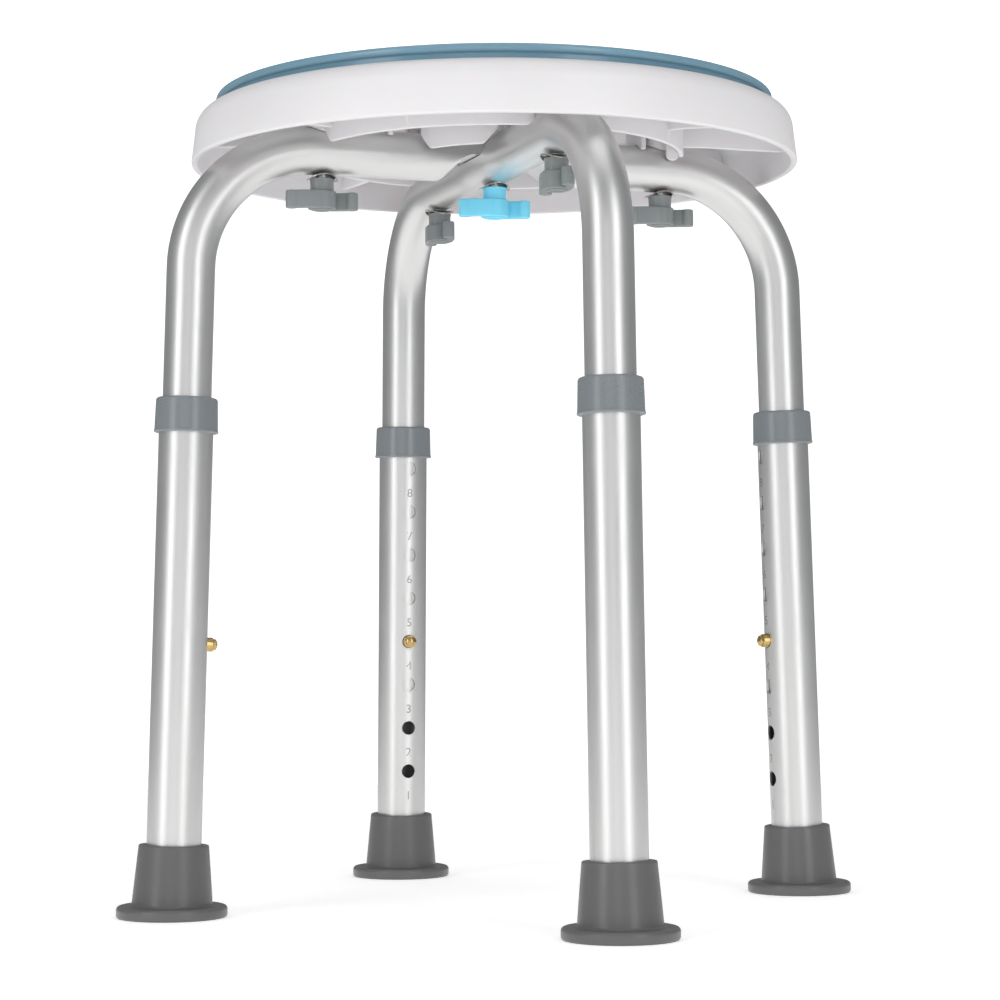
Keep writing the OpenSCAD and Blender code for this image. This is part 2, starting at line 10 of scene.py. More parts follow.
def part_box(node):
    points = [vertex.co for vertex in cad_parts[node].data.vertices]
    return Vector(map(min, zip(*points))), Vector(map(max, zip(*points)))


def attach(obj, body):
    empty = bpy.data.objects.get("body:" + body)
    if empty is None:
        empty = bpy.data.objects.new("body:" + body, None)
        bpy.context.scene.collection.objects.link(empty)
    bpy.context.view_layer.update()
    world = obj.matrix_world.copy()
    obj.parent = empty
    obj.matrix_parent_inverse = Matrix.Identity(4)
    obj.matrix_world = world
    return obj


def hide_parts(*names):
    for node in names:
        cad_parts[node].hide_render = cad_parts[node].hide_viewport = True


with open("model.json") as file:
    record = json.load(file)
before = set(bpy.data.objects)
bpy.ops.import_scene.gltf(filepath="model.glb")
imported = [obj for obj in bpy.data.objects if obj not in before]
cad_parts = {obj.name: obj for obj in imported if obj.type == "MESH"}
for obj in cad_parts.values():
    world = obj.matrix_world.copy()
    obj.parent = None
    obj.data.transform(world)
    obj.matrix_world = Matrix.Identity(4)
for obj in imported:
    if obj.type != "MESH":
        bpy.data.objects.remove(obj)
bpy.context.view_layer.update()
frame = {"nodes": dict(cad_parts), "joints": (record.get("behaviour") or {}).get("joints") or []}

# ---- Camera ----
# A long lens stands low and well back, so the stool is seen from just under its base and the two
# arches, the five clamping knobs and the ribs under the base all show.
MM = 0.001
scene = bpy.context.scene
camera = bpy.data.objects.new("camera", bpy.data.cameras.new("camera"))
scene.collection.objects.link(camera)
scene.camera = camera
camera.data.sensor_width = 36.0
camera.data.lens = 97.3
CAMERA_PLACE = Vector((-0.4718, -1.3650, 0.1468))
CAMERA_YAW, CAMERA_PITCH, CAMERA_ROLL = (math.radians(a) for a in (19.15, 2.69, -0.3))
camera.matrix_world = (
    Matrix.Translation(CAMERA_PLACE)
    @ Matrix.Rotation(-CAMERA_YAW, 4, "Z")
    @ Matrix.Rotation(math.pi / 2 + CAMERA_PITCH, 4, "X")
    @ Matrix.Rotation(CAMERA_ROLL, 4, "Z")
)

# ---- Seat base ----
# The base is one injection-moulded shell of white polypropylene: a flat deck with a rounded
# shoulder and a thin skirt, and under it ring walls, radial ribs and saddles that sit on the tubes.


def grid_faces(rows, columns):
    """Four-sided faces between the neighbours of a grid of points whose columns close in a ring."""
    index = np.arange(rows * columns).reshape(rows, columns)
    index = np.hstack([index, index[:, :1]])
    corners = [index[:-1, :-1], index[:-1, 1:], index[1:, 1:], index[1:, :-1]]
    return np.stack(corners, axis=-1).reshape(-1, 4)


def crisp(mesh, sharp):
    """Smooth shading, except at edges that bend more than sharp degrees."""
    mesh.shade_smooth()
    mesh.set_sharp_from_angle(angle=math.radians(sharp))


def solid(name, grids, sharp=32.0, straight=None):
    """One object from grids of points.  Every row of a grid is a ring, and its first and last rows
    either meet each other or shrink to a point or a line, so each grid closes into a shell.

    Points that fall together become one, and faces are turned outwards.  straight holds, for each
    point, where it would be if its tube were straight, for finishes that follow the tube.
    """
    points = np.concatenate([g.reshape(-1, 3) for g in grids])
    faces, start = [], 0
    for g in grids:
        faces.append(grid_faces(g.shape[0], g.shape[1]) + start)
        start += g.shape[0] * g.shape[1]
    mesh = bpy.data.meshes.new(name)
    mesh.from_pydata(points, [], np.concatenate(faces))
    if straight is not None:
        layer = mesh.attributes.new("straight", "FLOAT_VECTOR", "POINT")
        layer.data.foreach_set("vector", straight.astype(np.float32).ravel())
    work = bmesh.new()
    work.from_mesh(mesh)
    bmesh.ops.remove_doubles(work, verts=work.verts, dist=1e-6)
    loose = [edge for edge in work.edges if not edge.link_faces]
    bmesh.ops.delete(work, geom=loose, context="EDGES")
    bmesh.ops.recalc_face_normals(work, faces=work.faces)
    work.to_mesh(mesh)
    work.free()
    crisp(mesh, sharp)
    piece = bpy.data.objects.new(name, mesh)
    scene.collection.objects.link(piece)
    return piece


def combine(piece, others, operation, sharp=32.0):
    """Joins the others to the piece, or cuts them out of it, and takes them away."""
    for other in others:
        change = piece.modifiers.new("combine", "BOOLEAN")
        change.operation = operation
        change.solver = "MANIFOLD"
        change.object = other
    graph = bpy.context.evaluated_depsgraph_get()
    mesh = bpy.data.meshes.new_from_object(piece.evaluated_get(graph))
    piece.modifiers.clear()
    piece.data = mesh
    mesh.name = piece.name
    for other in others:
        bpy.data.objects.remove(other)
    crisp(mesh, sharp)
    return piece


def arc(x, y, r, a, b, count=8):
    """Points of an arc round (x, y) from a degrees to b degrees."""
    t = np.radians(np.linspace(a, b, count))
    return np.stack([x + r * np.cos(t), y + r * np.sin(t)], axis=-1)


def outline(*stretches):
    """Joins points and arcs into one profile."""
    return np.concatenate([np.atleast_2d(np.array(s, float)) for s in stretches])


def rounded(corners, cut):
    """A closed profile whose corners become curves, with its first point repeated at its end.

    Each corner c gives the points a(1-t)^2 + 2c t(1-t) + b t^2, where a and b lie on its two
    sides, cut away from it, but never past a third of a side.  Corners on the axis stay as drawn.
    """
    c = np.array(corners, float)
    cut = np.where(np.abs(c[:, :1]) < 1e-9, 0, np.broadcast_to(cut, len(c))[:, None])
    before, after = np.roll(c, 1, axis=0) - c, np.roll(c, -1, axis=0) - c
    reach_before = np.linalg.norm(before, axis=1, keepdims=True)
    reach_after = np.linalg.norm(after, axis=1, keepdims=True)
    a = c + before / reach_before * np.minimum(cut, reach_before / 3)
    b = c + after / reach_after * np.minimum(cut, reach_after / 3)
    t = np.linspace(0, 1, 5)[None, :, None]
    curve = a[:, None] * (1 - t) ** 2 + 2 * c[:, None] * t * (1 - t) + b[:, None] * t ** 2
    curve = curve.reshape(-1, 2)
    return np.concatenate([curve, curve[:1]])


def turned(profile, steps=96):
    """A profile of (radius, height) carried round Z: x = r cos a, y = r sin a, z = height."""
    profile = np.array(profile, float)
    angle = np.linspace(0, 2 * math.pi, steps, endpoint=False)
    r, z = profile[:, :1], profile[:, 1:]
    return np.stack([r * np.cos(angle), r * np.sin(angle), z + 0 * angle], axis=-1)


def drum(r, low, high, steps=48):
    """A plain cylinder round Z, mostly for cutting."""
    return turned([[0, low], [r, low], [r, high], [0, high]], steps)


def placed(points, turn=0.0, shift=(0, 0, 0)):
    """Points shifted, then turned about Z by an angle in degrees."""
    a = math.radians(turn)
    spin = np.array([[math.cos(a), -math.sin(a), 0], [math.sin(a), math.cos(a), 0], [0, 0, 1]])
    return (points + np.array(shift, float)) @ spin.T


def step(x, a, b):
    """0 at a, 1 at b and a smooth 3t^2 - 2t^3 between them; a may be the larger."""
    t = np.clip((x - a) / (b - a), 0, 1)
    return t * t * (3 - 2 * t)


def wall(plan, thickness, low, top):
    """A standing wall on a path in plan, with its own lower and upper edge at each point.

    Its faces lie half a thickness h either side of the path, and its lower edge is rounded.  At
    the distance d from an end the half thickness is h sqrt(1 - (1 - d/h)^2), so the ends are
    half round too.
    """
    plan = np.array(plan, float)
    along = np.concatenate([[0], np.cumsum(np.linalg.norm(np.diff(plan, axis=0), axis=1))])
    half = thickness / 2
    ease = half * (1 - np.cos(np.linspace(0, math.pi / 2, 5)))
    middle = np.linspace(half, along[-1] - half, max(4, len(plan)))[1:-1]
    d = np.concatenate([ease, middle, along[-1] - ease[::-1]])
    low, top = (np.broadcast_to(np.array(v, float), len(plan)) for v in (low, top))
    x, y, low, top = (np.interp(d, along, v) for v in (plan[:, 0], plan[:, 1], low, top))
    near = np.minimum(np.minimum(d, along[-1] - d) / half, 1)
    half_here = half * np.sqrt(np.maximum(1 - (1 - near) ** 2, 0))
    way = np.stack([np.gradient(x, d), np.gradient(y, d)], axis=-1)
    way /= np.linalg.norm(way, axis=1, keepdims=True)
    edge = min(0.8 * MM, half * 0.7)
    turn = np.linspace(0, math.pi / 2, 4)
    side, rise = 1 - edge / half * (1 - np.cos(turn)), edge * (1 - np.sin(turn))
    side = np.concatenate([[1], side, -side[::-1], [-1]])
    rise = np.concatenate([rise, rise[::-1]])
    w = half_here[:, None] * side
    px = x[:, None] - way[:, 1:] * w
    py = y[:, None] + way[:, :1] * w
    pz = np.concatenate([top[:, None], low[:, None] + rise, top[:, None]], axis=1)
    return np.stack([px, py, pz], axis=-1)


BASE_R, _, SPIGOT_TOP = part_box("seat_base")[1]
BALL_Z = sum(corner.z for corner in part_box("bearing_cage")) / 2
DECK_TOP = BALL_Z - 1.75 * MM
SKIRT_LOW = DECK_TOP - 28.8 * MM
BASE_WALL = 3.5 * MM
DECK_LOW = DECK_TOP - BASE_WALL
SHOULDER_R = 11 * MM
SHOULDER_X = BASE_R - 2 * MM - SHOULDER_R
RIB = 2.6 * MM
RIB_TOP = DECK_LOW + 1.5 * MM       # ribs run up into the deck, so that both become one
KNOB_R = sum(corner.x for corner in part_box("knob_right")) / 2
RING_R = KNOB_R + 4.2 * MM
HUB_RING_R = 46.7 * MM
RING_LOW = DECK_TOP - 23.5 * MM
SPIGOT_R = 14 * MM
ARCH_R = 12.5 * MM
ARCH_Z = DECK_TOP - 24.5 * MM
SADDLE_R = ARCH_R + 0.15 * MM
SADDLE_CLEAR = SADDLE_R + 0.2 * MM
BOSS_R = 9.37 * MM
BOSS_LOW = ARCH_Z + 6.5 * MM
STUD_R = 3 * MM
STUD_HOLE_R = STUD_R + 0.3 * MM
NUT_R = 5.9 * MM
NUT_LOW = DECK_TOP - 7.6 * MM
PLACES = {"right": 0, "back": 90, "left": 180, "front": 270}
KNOBS = {**{p: (KNOB_R, a) for p, a in PLACES.items()}, "centre": (0.0, 0)}


def shoulder_middle(r):
    """Height of the middle of the base's wall at a distance from its axis."""
    reach = SHOULDER_R - BASE_WALL / 2
    drop = reach - np.sqrt(np.maximum(reach ** 2 - np.maximum(r - SHOULDER_X, 0) ** 2, 0))
    return DECK_TOP - BASE_WALL / 2 - drop


def saddle(y):
    """Lower edge of plastic that sits on a tube, at a distance y beside the tube's middle."""
    return ARCH_Z + np.sqrt(np.maximum(SADDLE_R ** 2 - y ** 2, 0))


def ring_quarter(r, turn, cuts):
    """A quarter of a ring wall between two arch tubes.

    Its lower edge is cut at a slant beside the tubes.  For each end, cuts gives how far along
    the wall the cut reaches and how steeply it rises, softened with a root of squares.
    """
    first, last = math.asin(SADDLE_CLEAR / r), math.pi / 2 - math.asin(SADDLE_CLEAR / r)
    angle = np.linspace(first, last, 120)
    rise = 0 * angle
    for (reach, slope), d in zip(cuts, ((angle - first) * r, (last - angle) * r)):
        ramp = slope * (reach - d)
        rise = np.maximum(rise, (ramp + np.sqrt(ramp ** 2 + (0.8 * MM) ** 2)) / 2)
    plan = np.stack([r * np.cos(angle), r * np.sin(angle)], axis=-1)
    low = np.minimum(RING_LOW + rise, DECK_LOW)
    return placed(wall(plan, RIB, low, RIB_TOP), turn)


def end_tab(side):
    """Where a ring wall meets the arch along X it turns inwards along the tube, and this end
    hangs down as a tab with a round tip; side is 1 or -1."""
    beside = side * (SADDLE_CLEAR + RIB / 2)
    x = np.linspace(RING_R + RIB / 2, RING_R - 6.2 * MM, 40)
    across = (x - x.mean()) / (x.max() - x.mean())
    low = RING_LOW + 2 * MM + 3.4 * MM * (1 - np.sqrt(np.maximum(1 - across ** 2, 0)))
    return wall(np.column_stack([x, 0 * x + beside]), RIB, low, RIB_TOP)


def line(start, end, count=12):
    """Even points on a straight line in plan."""
    return np.linspace(start, end, count)


skirt = BASE_R - BASE_WALL
base_profile = outline(
    [0, DECK_LOW], arc(SHOULDER_X, DECK_TOP - SHOULDER_R, SHOULDER_R - BASE_WALL, 90, 0, 10),
    [skirt, SKIRT_LOW + 3 * MM],
    arc(skirt + 0.8 * MM, SKIRT_LOW + 0.8 * MM, 0.8 * MM, 180, 270, 4),
    arc(BASE_R - 1.2 * MM, SKIRT_LOW + 1.2 * MM, 1.2 * MM, 270, 360, 5),
    arc(SHOULDER_X, DECK_TOP - SHOULDER_R, SHOULDER_R, 0, 90, 12),
    [SPIGOT_R + 0.4 * MM, DECK_TOP], [SPIGOT_R, DECK_TOP + 0.4 * MM],
    [SPIGOT_R, SPIGOT_TOP - 0.3 * MM], [SPIGOT_R - 0.3 * MM, SPIGOT_TOP], [0, SPIGOT_TOP],
)
seat_base = solid("white_base", [turned(base_profile, 192)])

# Over the tubes the ring wall goes all the way round, as a narrow band
band = [[RING_R - RIB / 2, ARCH_Z + SADDLE_CLEAR], [RING_R + RIB / 2, ARCH_Z + SADDLE_CLEAR],
        [RING_R + RIB / 2, RIB_TOP], [RING_R - RIB / 2, RIB_TOP]]
ribs = [turned(rounded(band, 0.5 * MM), 144)]
# Cuts of the ring walls as (reach, slope): long and gentle beside the arch along X where the two
# tabs hang, shorter and steeper at its other end, shortest beside the arch along Y
GENTLE_CUT, STEEP_CUT = (22 * MM, 0.4), (11.5 * MM, 1.3)
CUT_BESIDE_Y = (3 * MM, 1.2)
CUT_BESIDE_X = {"right": GENTLE_CUT, "back": STEEP_CUT, "left": STEEP_CUT, "front": GENTLE_CUT}
HUB_RING_CUT = (8 * MM, 1.1)
SADDLE_PLACES = (61.3 * MM, 82.1 * MM)
SADDLE_LOW = ARCH_Z + ARCH_R - 3.5 * MM
for place, turn in PLACES.items():
    cuts = [CUT_BESIDE_X[place], CUT_BESIDE_Y]
    ribs.append(ring_quarter(RING_R, turn, cuts if place in ("right", "left") else cuts[::-1]))
    ribs.append(ring_quarter(HUB_RING_R, turn, (HUB_RING_CUT, HUB_RING_CUT)))
    # Two saddles sit on each arm of an arch
    for x in SADDLE_PLACES:
        across = line([x, -ARCH_R], [x, ARCH_R], 50)
        edge = np.maximum(SADDLE_LOW, saddle(across[:, 1]))
        ribs.append(placed(wall(across, RIB, edge, RIB_TOP), turn))
    spoke = line([BOSS_R, 0], [RING_R, 0])
    ribs.append(placed(wall(spoke, RIB, RING_LOW + 12 * MM, RIB_TOP), turn + 45))
for side in (1, -1):
    ribs.append(end_tab(side))
RIB_COUNT = 12
for i in range(RIB_COUNT):
    reach = line([RING_R, 0], [BASE_R - 3.4 * MM, 0], 30)
    sweep = RING_LOW + 7 * MM - 2 * MM * step(reach[:, 0], RING_R + 6 * MM, BASE_R - 6 * MM)
    ribs.append(placed(wall(reach, RIB, sweep, shoulder_middle(reach[:, 0])),
                       (i + 0.5) * 360 / RIB_COUNT))
for r, turn in KNOBS.values():
    boss = turned(outline(
        [0, BOSS_LOW], line([1 * MM, BOSS_LOW], [8.5 * MM, BOSS_LOW], 6),
        [BOSS_R, BOSS_LOW + 0.8 * MM], [BOSS_R, RIB_TOP], [0, RIB_TOP]), 64)
    under = boss[:-2, :, 2]
    boss[:-2, :, 2] = np.maximum(under, saddle(boss[:-2, :, 1]) + under - under.min())
    ribs.append(placed(boss, turn, (r, 0, 0)))
combine(seat_base, [solid("rib", [rib]) for rib in ribs], "UNION")

# The balls run in a groove of this race in the deck, and in the same one under the seat
RACE = turned(rounded(arc(KNOB_R - 26 * MM, BALL_Z, 3.3 * MM, 0, 330, 12), 0), 96)
SCREW_CIRCLE_R = 9.8 * MM
SCREW_HOLE_R = 1.75 * MM
DRAIN_AT = (124 * MM, 6 * MM, 0)
DRAIN_R = 3 * MM
PAST = 1 * MM       # how far a cutter runs past the face that it opens
cuts = [RACE]
for r, turn in KNOBS.values():
    cuts.append(placed(drum(STUD_HOLE_R, ARCH_Z, DECK_TOP), turn, (r, 0, 0)))
    cuts.append(placed(drum(NUT_R, NUT_LOW, SPIGOT_TOP + PAST, 6), turn, (r, 0, 0)))
for turn in (30, 150, 270):
    screw_hole = drum(SCREW_HOLE_R, SPIGOT_TOP - 8 * MM, SPIGOT_TOP + PAST, 24)
    cuts.append(placed(screw_hole, turn, (SCREW_CIRCLE_R, 0, 0)))
for turn in (45, 135, 225, 315):
    cuts.append(placed(drum(DRAIN_R, DECK_LOW - PAST, DECK_TOP + PAST, 32), turn, DRAIN_AT))
combine(seat_base, [solid("cut", [cut]) for cut in cuts], "DIFFERENCE")


def effect(name, inputs, outputs):
    """An empty node group with named inputs, each (name, kind, default), and named outputs."""
    group = bpy.data.node_groups.new(name, "ShaderNodeTree")
    for label, kind, default in inputs:
        socket = group.interface.new_socket(label, in_out="INPUT", socket_type="NodeSocket" + kind)
        socket.default_value = default
    for label, kind in outputs:
        group.interface.new_socket(label, in_out="OUTPUT", socket_type="NodeSocket" + kind)
    return group, group.nodes.new("NodeGroupInput").outputs, group.nodes.new("NodeGroupOutput").inputs


def node(tree, kind, settings=(), **links):
    """A shader node with its settings, its inputs set to numbers or joined to other sockets."""
    made = tree.nodes.new("ShaderNode" + kind)
    for key, value in dict(settings).items():
        setattr(made, key, value)
    for key, value in links.items():
        socket = made.inputs[int(key[1:]) if key[1:].isdigit() else key.replace("_", " ")]
        if isinstance(value, bpy.types.NodeSocket):
            tree.links.new(value, socket)
        else:
            socket.default_value = value
    return made


def noise(tree, where, scale, detail=2.0, rough=0.5):
    """A noise pattern's factor, 0 to 1, at a place that may be stretched first."""
    made = node(tree, "TexNoise", Vector=where, Scale=scale, Detail=detail, Roughness=rough)
    return made.outputs["Factor"] if "Factor" in made.outputs else made.outputs["Fac"]


def between(tree, factor, low, high, to_low, to_high):
    """Maps a factor from low..high to to_low..to_high and holds it there."""
    made = node(tree, "MapRange", Value=factor, From_Min=low, From_Max=high)
    for label, value in (("To Min", to_low), ("To Max", to_high)):
        if isinstance(value, bpy.types.NodeSocket):
            tree.links.new(value, made.inputs[label])
        else:
            made.inputs[label].default_value = value
    return made.outputs["Result"]


def mixed(tree, factor, a, b):
    """Colour a where the factor is 0 and colour b where it is 1."""
    made = node(tree, "Mix", {"data_type": "RGBA"})
    for socket, value in zip((made.inputs[0], made.inputs[6], made.inputs[7]), (factor, a, b)):
        if isinstance(value, bpy.types.NodeSocket):
            tree.links.new(value, socket)
        else:
            socket.default_value = value
    return made.outputs[2]


def moulded_skin():
    """The skin of a moulding: slow drifts of colour and gloss from the melt's flow, paler worn
    edges, and a fine spark-eroded grain for the height."""
    group, put, out = effect(
        "moulded skin",
        [("Colour", "Color", (0.8, 0.8, 0.8, 1)), ("Flow colour", "Color", (0.7, 0.7, 0.7, 1)),
         ("Edge colour", "Color", (0.9, 0.9, 0.9, 1)), ("Edge wear", "Float", 0.5),
         ("Flow scale", "Float", 14.0), ("Grain scale", "Float", 1800.0),
         ("Smooth", "Float", 0.3), ("Rough", "Float", 0.45)],
        [("Colour", "Color"), ("Roughness", "Float"), ("Height", "Float")])
    place = node(group, "TexCoord").outputs["Object"]
    flow = noise(group, place, put["Flow scale"], 3.0)
    blotch = between(group, flow, 0.35, 0.7, 0.0, 1.0)
    tint = mixed(group, blotch, put["Colour"], put["Flow colour"])
    point = node(group, "NewGeometry").outputs["Pointiness"]
    edge = between(group, point, 0.51, 0.58, 0.0, put["Edge wear"])
    group.links.new(mixed(group, edge, tint, put["Edge colour"]), out["Colour"])
    fine = noise(group, place, put["Grain scale"], 2.0)
    patch = node(group, "Math", {"operation": "MULTIPLY_ADD"}, _0=fine, _1=0.35, _2=flow)
    group.links.new(between(group, patch.outputs[0], 0.4, 0.95, put["Smooth"], put["Rough"]),
                    out["Roughness"])
    group.links.new(fine, out["Height"])
    return group


MOULDED_SKIN = moulded_skin()


def finish(name, group, values, bump, **shader):
    """A material: the effect's colour, roughness and height feed a Principled shader, whose other
    sockets hold plain values.  bump is the height of the grain in metres."""
    made = bpy.data.materials.new(name)
    made.use_nodes = True
    tree = made.node_tree
    principled = tree.nodes["Principled BSDF"]
    skin = node(tree, "Group", {"node_tree": group})
    for label, value in values.items():
        skin.inputs[label].default_value = value
    tree.links.new(skin.outputs["Colour"], principled.inputs["Base Color"])
    tree.links.new(skin.outputs["Roughness"], principled.inputs["Roughness"])
    raised = node(tree, "Bump", Height=skin.outputs["Height"], Distance=bump, Strength=1.0)
    tree.links.new(raised.outputs["Normal"], principled.inputs["Normal"])
    for label, value in shader.items():
        principled.inputs[label.replace("_", " ")].default_value = value
    return made


def moulded(name, colour, spread, smooth, rough, wear=0.4, flow=14.0, grain=1800.0, bump=8e-6,
            **shader):
    """A moulded plastic or rubber: spread is how far its colour drifts, as a share."""
    values = {
        "Colour": (*colour, 1), "Flow colour": (*(c * (1 - spread) for c in colour), 1),
        "Edge colour": (*(min(c * 1.25 + 0.02, 0.95) for c in colour), 1), "Edge wear": wear,
        "Flow scale": flow, "Grain scale": grain, "Smooth": smooth, "Rough": rough,
    }
    return finish(name, MOULDED_SKIN, values, bump, **shader)


def made_of(piece, material):
    """Gives a piece its finish."""
    piece.data.materials.clear()
    piece.data.materials.append(material)


WHITE_PLASTIC = moulded(
    "white polypropylene", (0.765, 0.755, 0.77), 0.035, 0.32, 0.46, wear=0.5,
    Subsurface_Weight=0.12, Subsurface_Scale=0.004, IOR=1.49)
made_of(seat_base, WHITE_PLASTIC)
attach(seat_base, "base")
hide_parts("seat_base")

# ---- Captive nuts ----
# Five zinc-plated steel nuts are pressed into hexagonal pockets in the deck, over the tubes, and
# the clamping knobs' studs screw up into them.


def plated_steel():
    """Metal skin: cloudy patches of plating, fine scratches in all directions and a soft grain."""
    group, put, out = effect(
        "plated steel",
        [("Colour", "Color", (0.6, 0.6, 0.6, 1)), ("Cloud colour", "Color", (0.5, 0.5, 0.5, 1)),
         ("Cloud scale", "Float", 120.0), ("Scratch scale", "Float", 900.0),
         ("Smooth", "Float", 0.2), ("Rough", "Float", 0.4)],
        [("Colour", "Color"), ("Roughness", "Float"), ("Height", "Float")])
    place = node(group, "TexCoord").outputs["Object"]
    cloud = noise(group, place, put["Cloud scale"], 4.0, 0.6)
    group.links.new(mixed(group, between(group, cloud, 0.35, 0.65, 0.0, 1.0), put["Colour"],
                          put["Cloud colour"]), out["Colour"])
    narrow = node(group, "Mapping", Vector=place, Scale=(1.0, 0.12, 0.4), Rotation=(0.4, 0.2, 0.9))
    scratch = noise(group, narrow.outputs[0], put["Scratch scale"], 3.0, 0.7)
    group.links.new(between(group, scratch, 0.3, 0.75, put["Smooth"], put["Rough"]),
                    out["Roughness"])
    group.links.new(scratch, out["Height"])
    return group


PLATED_STEEL = plated_steel()


def metal(name, colour, smooth, rough, cloud=120.0):
    """A plated or polished metal part."""
    values = {
        "Colour": (*colour, 1), "Cloud colour": (*(c * 0.86 for c in colour), 1),
        "Cloud scale": cloud, "Scratch scale": 900.0, "Smooth": smooth, "Rough": rough,
    }
    return finish(name, PLATED_STEEL, values, 3e-6, Metallic=1.0)


ZINC = metal("zinc-plated steel", (0.58, 0.60, 0.63), 0.26, 0.44)
made_of(frame["nodes"]["captive_nuts"], ZINC)

# ---- Arch tubes ----
# Two aluminium tubes, satin anodised, are bent to arches and crushed to half their height where
# they cross, one from below and one from above, so that both lie at one level under the base.
FOOT_R = sum(corner.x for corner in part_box("foot_right")) / 2
SPLAY = math.asin(next(j for j in frame["joints"] if j["name"] == "height_right")["axis"][0])
ARCH_WALL = 1.2 * MM
ARCH_END = 100 * MM
BEND_R = 66 * MM
BEND_Z = ARCH_Z - BEND_R * (1 - math.sin(SPLAY))
BEND_X = FOOT_R - BEND_Z * math.tan(SPLAY) - BEND_R * math.cos(SPLAY)
BEND_T = BEND_Z / math.cos(SPLAY)
CRUSH_FLAT = 16.5 * MM
CRUSH_REACH = 38 * MM
CRUSH_FOLD = 2.2 * MM
CRUSH_BULGE = 0.11
LAP = 0.1 * MM


def arch_line():
    """Centre line of an arch along X, from one open end over the top to the other.

    Gives x, z, the direction (nx, nz) that points away from the bend's middle, and the length so
    far.  The leg is x = R - t sin s, z = t cos s, and the bend turns from s to a right angle.
    """
    t = np.linspace(ARCH_END, BEND_T, 60)[:-1]
    leg = np.stack([FOOT_R - t * math.sin(SPLAY), t * math.cos(SPLAY), 0 * t + SPLAY], axis=-1)
    a = np.linspace(SPLAY, math.pi / 2, 44)
    bend = np.stack([BEND_X + BEND_R * np.cos(a), ARCH_Z - BEND_R + BEND_R * np.sin(a), a], axis=-1)
    x = np.linspace(BEND_X, 0, 90)[1:]
    top = np.stack([x, 0 * x + ARCH_Z, 0 * x + math.pi / 2], axis=-1)
    half = np.concatenate([leg, bend, top])
    x, z, a = np.concatenate([half, (half * [-1, 1, -1] + [0, 0, math.pi])[-2::-1]]).T
    far = np.concatenate([[0], np.cumsum(np.hypot(np.diff(x), np.diff(z)))])
    return x, z, np.cos(a), np.sin(a), far


def crushed(x, height, level):
    """Heights in a tube's section after its underside is pressed up to level about its middle.

    With f the floor, which rises from under the tube to level over the sloping ends, the height
    h becomes (h + f + sqrt((h - f)^2 + e^2)) / 2, e rounding the fold.
    """
    deep = step(np.abs(x), CRUSH_REACH, CRUSH_FLAT)
    floor = -1.25 * ARCH_R + (1.25 * ARCH_R + level) * deep
    fold = CRUSH_FOLD * deep
    return (height + floor + np.sqrt((height - floor) ** 2 + fold ** 2)) / 2


def arch_skin(r, level, flip):
    """One surface of an arch: its section at angle q is r cos q away from the bend's middle and
    r sin q across, crushed about its middle, and wider there, most of all on the pressed side."""
    x, z, nx, nz, far = (v[:, None] for v in arch_line())
    q = np.linspace(0, 2 * math.pi, 64, endpoint=False)[None, :]
    flat = (nz > 0.9999) & (np.abs(x) < CRUSH_REACH)
    height, across = r * np.cos(q) + 0 * x, r * np.sin(q) + 0 * x
    pressed = flip * crushed(x, flip * height, level)
    deep = np.where(flat, step(np.abs(x), CRUSH_REACH, CRUSH_FLAT), 0)
    height = np.where(flat, pressed, height)
    lower = step(flip * r * np.cos(q), 0.2 * r, -0.6 * r)
    across = across * (1 + deep * CRUSH_BULGE * (1 + lower))
    points = np.stack([x + nx * height, across, z + nz * height], axis=-1)
    straight = np.stack([r * np.cos(q) + 0 * x, r * np.sin(q) + 0 * x, far + 0 * q], axis=-1)
    return points, straight


def tube_along(inner, outer):
    """Closes a tube: out along its outer surface, back along its inner one, and round again."""
    return tuple(np.concatenate([o, i[::-1], o[:1]]) for o, i in zip(outer, inner))


def lying(points):
    """Turns a shape that stands on Z to point along -X."""
    return np.stack([-points[..., 2], points[..., 1], points[..., 0]], axis=-1)


def in_leg(points, side, t=0.0):
    """From a leg's own frame, +Z up the leg, +X away from the stool and t up from the floor, to
    the stool's frame."""
    c, s = math.cos(SPLAY), math.sin(SPLAY)
    lean = np.array([[c, 0, -s], [0, 1, 0], [s, 0, c]])
    return placed((points + np.array([0, 0, t])) @ lean.T, PLACES[side], (FOOT_R, 0, 0))


HOLE_PITCH = 25.4 * MM
HOLE_FIRST = 62.8 * MM
REST_HOLE = 4
REST_T = HOLE_FIRST + (REST_HOLE - 1) * HOLE_PITCH
BUTTON_R = 3.65 * MM
BUTTON_HOLE_R = BUTTON_R + 0.1 * MM


